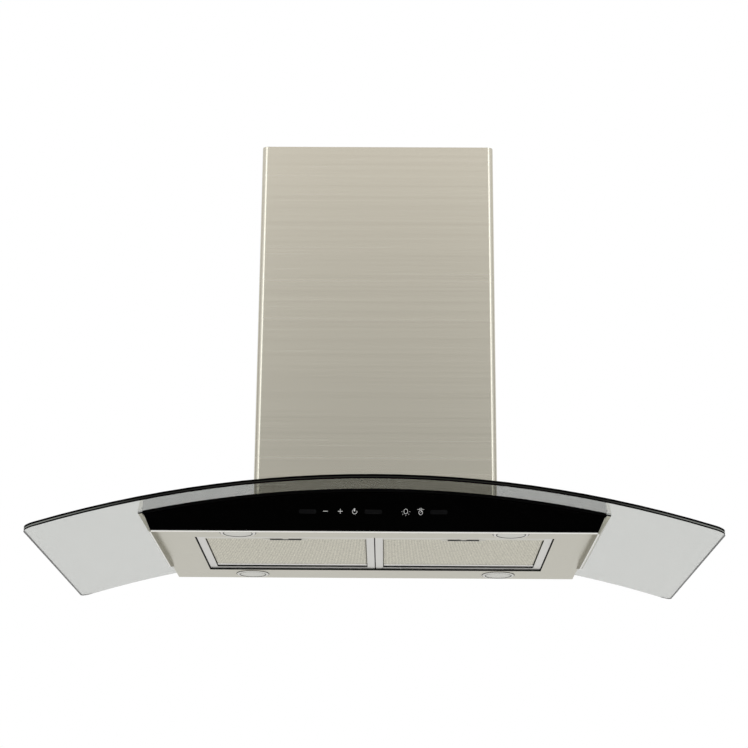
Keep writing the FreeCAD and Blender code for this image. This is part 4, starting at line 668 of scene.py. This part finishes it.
def pressed_plate(name, centre, half, y0, y1, z, thick, bevel):
    """A low cushion: a rounded rectangle in plan, its outline drawn in by the bevel at its lower and upper
    face, as four rings of points closed by two end faces."""
    turn = np.radians(np.arange(0, 360, 15) + 7.5)
    corner = min((y1 - y0) / 2, half) * 0.45
    cx = np.sign(np.cos(turn)) * (half - corner)
    cy = np.sign(np.sin(turn)) * ((y1 - y0) / 2 - corner)
    rings = []
    for inset, height in ((bevel, 0.0), (0.0, bevel), (0.0, thick - bevel), (bevel, thick)):
        rings.append(np.stack((centre + cx + (corner - inset) * np.cos(turn),
                               (y0 + y1) / 2 + cy + (corner - inset) * np.sin(turn),
                               np.full(len(turn), z + height)), axis=1))
    n = len(turn)
    k = np.arange(n)
    quads = [np.stack((r * n + k, r * n + (k + 1) % n, (r + 1) * n + (k + 1) % n, (r + 1) * n + k), axis=1)
             for r in range(3)]
    faces = np.concatenate(quads).tolist() + [list(range(n - 1, -1, -1)), list(range(3 * n, 4 * n))]
    return surface(name, np.concatenate(rings).tolist(), faces)


CELL_WIDE, CELL_DEEP = 2.1 * MM, 4.2 * MM       # of the lower grille; the upper one's are larger
UPPER_WIDE, UPPER_DEEP = 3.0 * MM, 6.0 * MM


def strand_metal():
    """Aluminium strands: bands one cell wide, where the bonds were rolled brighter, broken up by noise."""
    made, tree, shader = principled("expanded_strand", (0.7, 0.68, 0.6), 0.4, metallic=0.9)
    place = tree.nodes.new("ShaderNodeTexCoord")
    bands = tree.nodes.new("ShaderNodeTexWave")
    bands.bands_direction = "X"
    bands.inputs["Scale"].default_value = 2 * math.pi / (20 * CELL_WIDE)
    link(tree, place.outputs["Object"], bands.inputs["Vector"])
    stretched = tree.nodes.new("ShaderNodeVectorMath")
    stretched.operation = "MULTIPLY"
    stretched.inputs[1].default_value = (240, 110, 110)
    link(tree, place.outputs["Object"], stretched.inputs[0])
    patches = tree.nodes.new("ShaderNodeTexNoise")
    patches.inputs["Scale"].default_value = 1.0
    patches.inputs["Detail"].default_value = 3.0
    link(tree, stretched.outputs[0], patches.inputs["Vector"])
    worn = worked_out(tree, "MULTIPLY", bands.outputs["Fac"], patches.outputs["Fac"])
    spread(tree, worn, (0.50, 0.48, 0.41), (1.2, 1.17, 1.03), shader.inputs["Base Color"])
    spread(tree, patches.outputs["Fac"], 0.3, 0.5, shader.inputs["Roughness"])
    return made


STRAND = strand_metal()
RAIL = mottled("rolled_aluminium_rail", (0.69, 0.675, 0.60), 0.36, 500, tone=0.04, depth=0.15,
               metallic=1.0)
# Painted highlight: a lighter copy of the aluminium, for the bright line where the mesh ends at the rear.
HEM_PAINTED_HIGHLIGHT = mottled("mesh_hem_painted_highlight", (0.92, 0.91, 0.88), 0.3, 500, tone=0.04, depth=0.15, metallic=1.0)
# Painted shade: the pack inside the filter and the gaps round the mesh, painted almost black.
PAINTED_SHADE_CORE = mottled("mesh_core_painted_shade", (0.03, 0.029, 0.026), 0.6, 900, tone=0.5, depth=0.8,
                    reach=0.6 * MM, specular=0.12)
FRAME_SIDE, FRAME_REAR = 10.5 * MM, 10.0 * MM   # widths of the frame's members
RAIL_LAP = 1.3 * MM                             # of the front rail over the side members
for side in ("left", "right"):
    low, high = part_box("filter_mesh_" + side)
    inset = FRAME_SIDE - RAIL_LAP + 0.5 * MM
    rail = low[1]
    rear = high[1] - FRAME_REAR
    core_low, core_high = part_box("filter_core_" + side)
    grille = expanded_sheet("filter_expanded_mesh_" + side, low[0] + inset, high[0] - inset,
                            rail + 7.0 * MM, rear - 9.0 * MM, low[2] + 0.5 * MM, CELL_WIDE, CELL_DEEP,
                            strand=0.62 * MM, crimp=0.5 * MM, hem=2.2 * MM)
    grille.data.materials.append(STRAND)
    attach(grille, "filter_" + side)
    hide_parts("filter_mesh_" + side)
    upper = expanded_sheet("filter_upper_mesh_" + side, low[0] + inset, high[0] - inset, rail + 1.0 * MM,
                           rear, core_high[2] + 0.35 * MM, UPPER_WIDE, UPPER_DEEP,
                           strand=0.9 * MM, crimp=0.3 * MM, hem=0.05 * MM, faces_up=True)
    upper.data.materials.append(STRAND)
    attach(upper, "filter_" + side)
    bottom = core_low[2] - 4.4 * MM
    centre = (low[0] + high[0]) / 2
    half = (high[0] - low[0]) / 2
    strip = pressed_plate("filter_front_rail_" + side, centre, half - FRAME_SIDE + RAIL_LAP,
                          rail - 0.2 * MM, rail + 8.0 * MM, bottom + 0.1 * MM, thick=0.7 * MM, bevel=0.3 * MM)
    pad = pressed_plate("filter_pull_pad_" + side, centre, 30.0 * MM, rail + 6.0 * MM, rail + 15.0 * MM,
                        bottom + 0.1 * MM, thick=0.7 * MM, bevel=0.3 * MM)
    neck = pressed_plate("latch_neck_" + side, centre, 4.0 * MM, rail - 9.2 * MM, rail + 9.5 * MM,
                         bottom - 0.35 * MM, thick=0.32 * MM, bevel=0.1 * MM)
    hem = pressed_plate("filter_mesh_hem_" + side, centre, half - inset - 0.3 * MM, rear - 15.5 * MM,
                        rear - 7.5 * MM, low[2] + 0.15 * MM, thick=0.6 * MM, bevel=0.2 * MM)
    for piece, body in ((strip, "filter_"), (pad, "filter_"), (hem, "filter_"), (neck, "latch_")):
        piece.data.materials.append(HEM_PAINTED_HIGHLIGHT if piece is hem else RAIL)
        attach(piece, body + side)
    # The grip's black also paints the shadow line of the finger pull.
    grip = pressed_plate("latch_grip_" + side, centre, 21.5 * MM, rail + 8.5 * MM, rail + 11.3 * MM,
                         bottom - 0.85 * MM, thick=0.82 * MM, bevel=0.3 * MM)
    grip.data.materials.append(BLACK_MOULDED)
    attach(grip, "latch_" + side)


def bowed_leaf(name, centre, half, seat, bow, z, height, leaf):
    """A leaf spring seen in plan as the band between two circular arcs, each from seat to seat and
    bowed forward in the middle, the inner one less by the leaf's thickness; the band is drawn
    straight up."""
    n = 33

    def arc(reach, rise):
        x = np.linspace(-reach, reach, n)
        radius = (reach ** 2 + rise ** 2) / (2 * rise)
        return np.stack((centre + x, seat + radius - rise - np.sqrt(radius ** 2 - x ** 2)), axis=1)

    plan = np.concatenate((arc(half, bow), arc(half - 2 * MM, bow - leaf)))
    points = np.concatenate([np.column_stack((plan, np.full(len(plan), z + rise))) for rise in (0, height)])
    k = np.arange(n - 1)
    outer, inner, outer_top, inner_top = k, k + n, k + 2 * n, k + 3 * n
    quads = [(outer, outer + 1, outer_top + 1, outer_top), (inner + 1, inner, inner_top, inner_top + 1),
             (outer + 1, outer, inner, inner + 1), (outer_top, outer_top + 1, inner_top + 1, inner_top)]
    ends = [(0, 2 * n, 3 * n, n), (n - 1, 2 * n - 1, 4 * n - 1, 3 * n - 1)]
    faces = np.concatenate([np.stack(quad, axis=1) for quad in quads]).tolist() + ends
    return surface(name, points.tolist(), faces)


SPRING = brushed("spring_steel", (0.55, 0.55, 0.54), 0.25, (400, 400, 400))
LEAF_THICK = 0.5 * MM
TAB_BEHIND = 0.9 * MM                   # the tabs and the rear member's inner wall, from the mesh's rear
WALL_BEFORE = 1.2 * MM
for side in ("left", "right"):
    finish(ALUMINIUM, "filter_frame_" + side)
    mesh = nodes["filter_frame_" + side].data
    mesh.materials.append(painted_shade_inside)
    normals, centres = face_data(mesh)
    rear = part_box("filter_mesh_" + side)[1][1]
    face_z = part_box("filter_mesh_" + side)[0][2] - 1.0 * MM
    # Painted shade: the rear tabs and the rear member's inner wall take the steel painted almost black.
    by_rear = centres[:, 1] > rear - WALL_BEFORE
    tabs = (centres[:, 1] > rear + TAB_BEHIND) | (by_rear & (centres[:, 2] < face_z - 0.03 * MM))
    inner_wall = (normals[:, 1] < -FACES) & by_rear
    mesh.polygons.foreach_set("material_index", (tabs | inner_wall).astype(np.int32))
    # A black moulding, whose black also paints the shadow line along the pull.
    finish(BLACK_MOULDED, "filter_latch_" + side)
    finish(PAINTED_SHADE_CORE, "filter_mesh_" + side, "filter_core_" + side)
    finish(SPRING, "latch_spring_" + side)
    low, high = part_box("latch_spring_" + side)
    centre = (low[0] + high[0]) / 2
    leaf = bowed_leaf("latch_leaf_" + side, centre, (high[0] - low[0]) / 2, high[1], high[1] - low[1], low[2],
                      high[2] - low[2], LEAF_THICK)
    leaf.data.materials.append(SPRING)
    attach(leaf, "filter_" + side)
    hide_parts("latch_spring_" + side)
    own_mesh(leaf)

# ---- housing, throat and blower ---------------------------------------------
# Zinc-coated sheet with its patchwork of crystals, a black moulded scroll, and an
# enamelled motor inside the squirrel-cage rotor. The body's top plate is bare steel.


def zinc_sheet():
    """Zinc coating: large flat crystals, each a little lighter or darker than the next."""
    made, tree, shader = principled("zinc_coated_sheet", (0.6, 0.61, 0.62), 0.42, metallic=0.9)
    place = tree.nodes.new("ShaderNodeTexCoord")
    crystals = tree.nodes.new("ShaderNodeTexVoronoi")
    crystals.inputs["Scale"].default_value = 130
    link(tree, place.outputs["Object"], crystals.inputs["Vector"])
    grey = tree.nodes.new("ShaderNodeSeparateColor")
    link(tree, crystals.outputs["Color"], grey.inputs[0])
    spread(tree, grey.outputs["Red"], (0.52, 0.53, 0.54), (0.68, 0.69, 0.70), shader.inputs["Base Color"])
    spread(tree, grey.outputs["Green"], 0.34, 0.5, shader.inputs["Roughness"])
    return made


ZINC = zinc_sheet()
finish(deck_finish_painted_shade, "top_plate")
finish(ZINC, "motor_housing", "housing_cover", "air_throat", "chimney_brackets", "upper_bracket",
       "motor_bracket", "lamp_bodies", "blower_rotor")
finish(mottled("motor_enamel", (0.05, 0.05, 0.055), 0.35, 400, tone=0.2), "motor_body")
finish(CHROME, "motor_bearings")
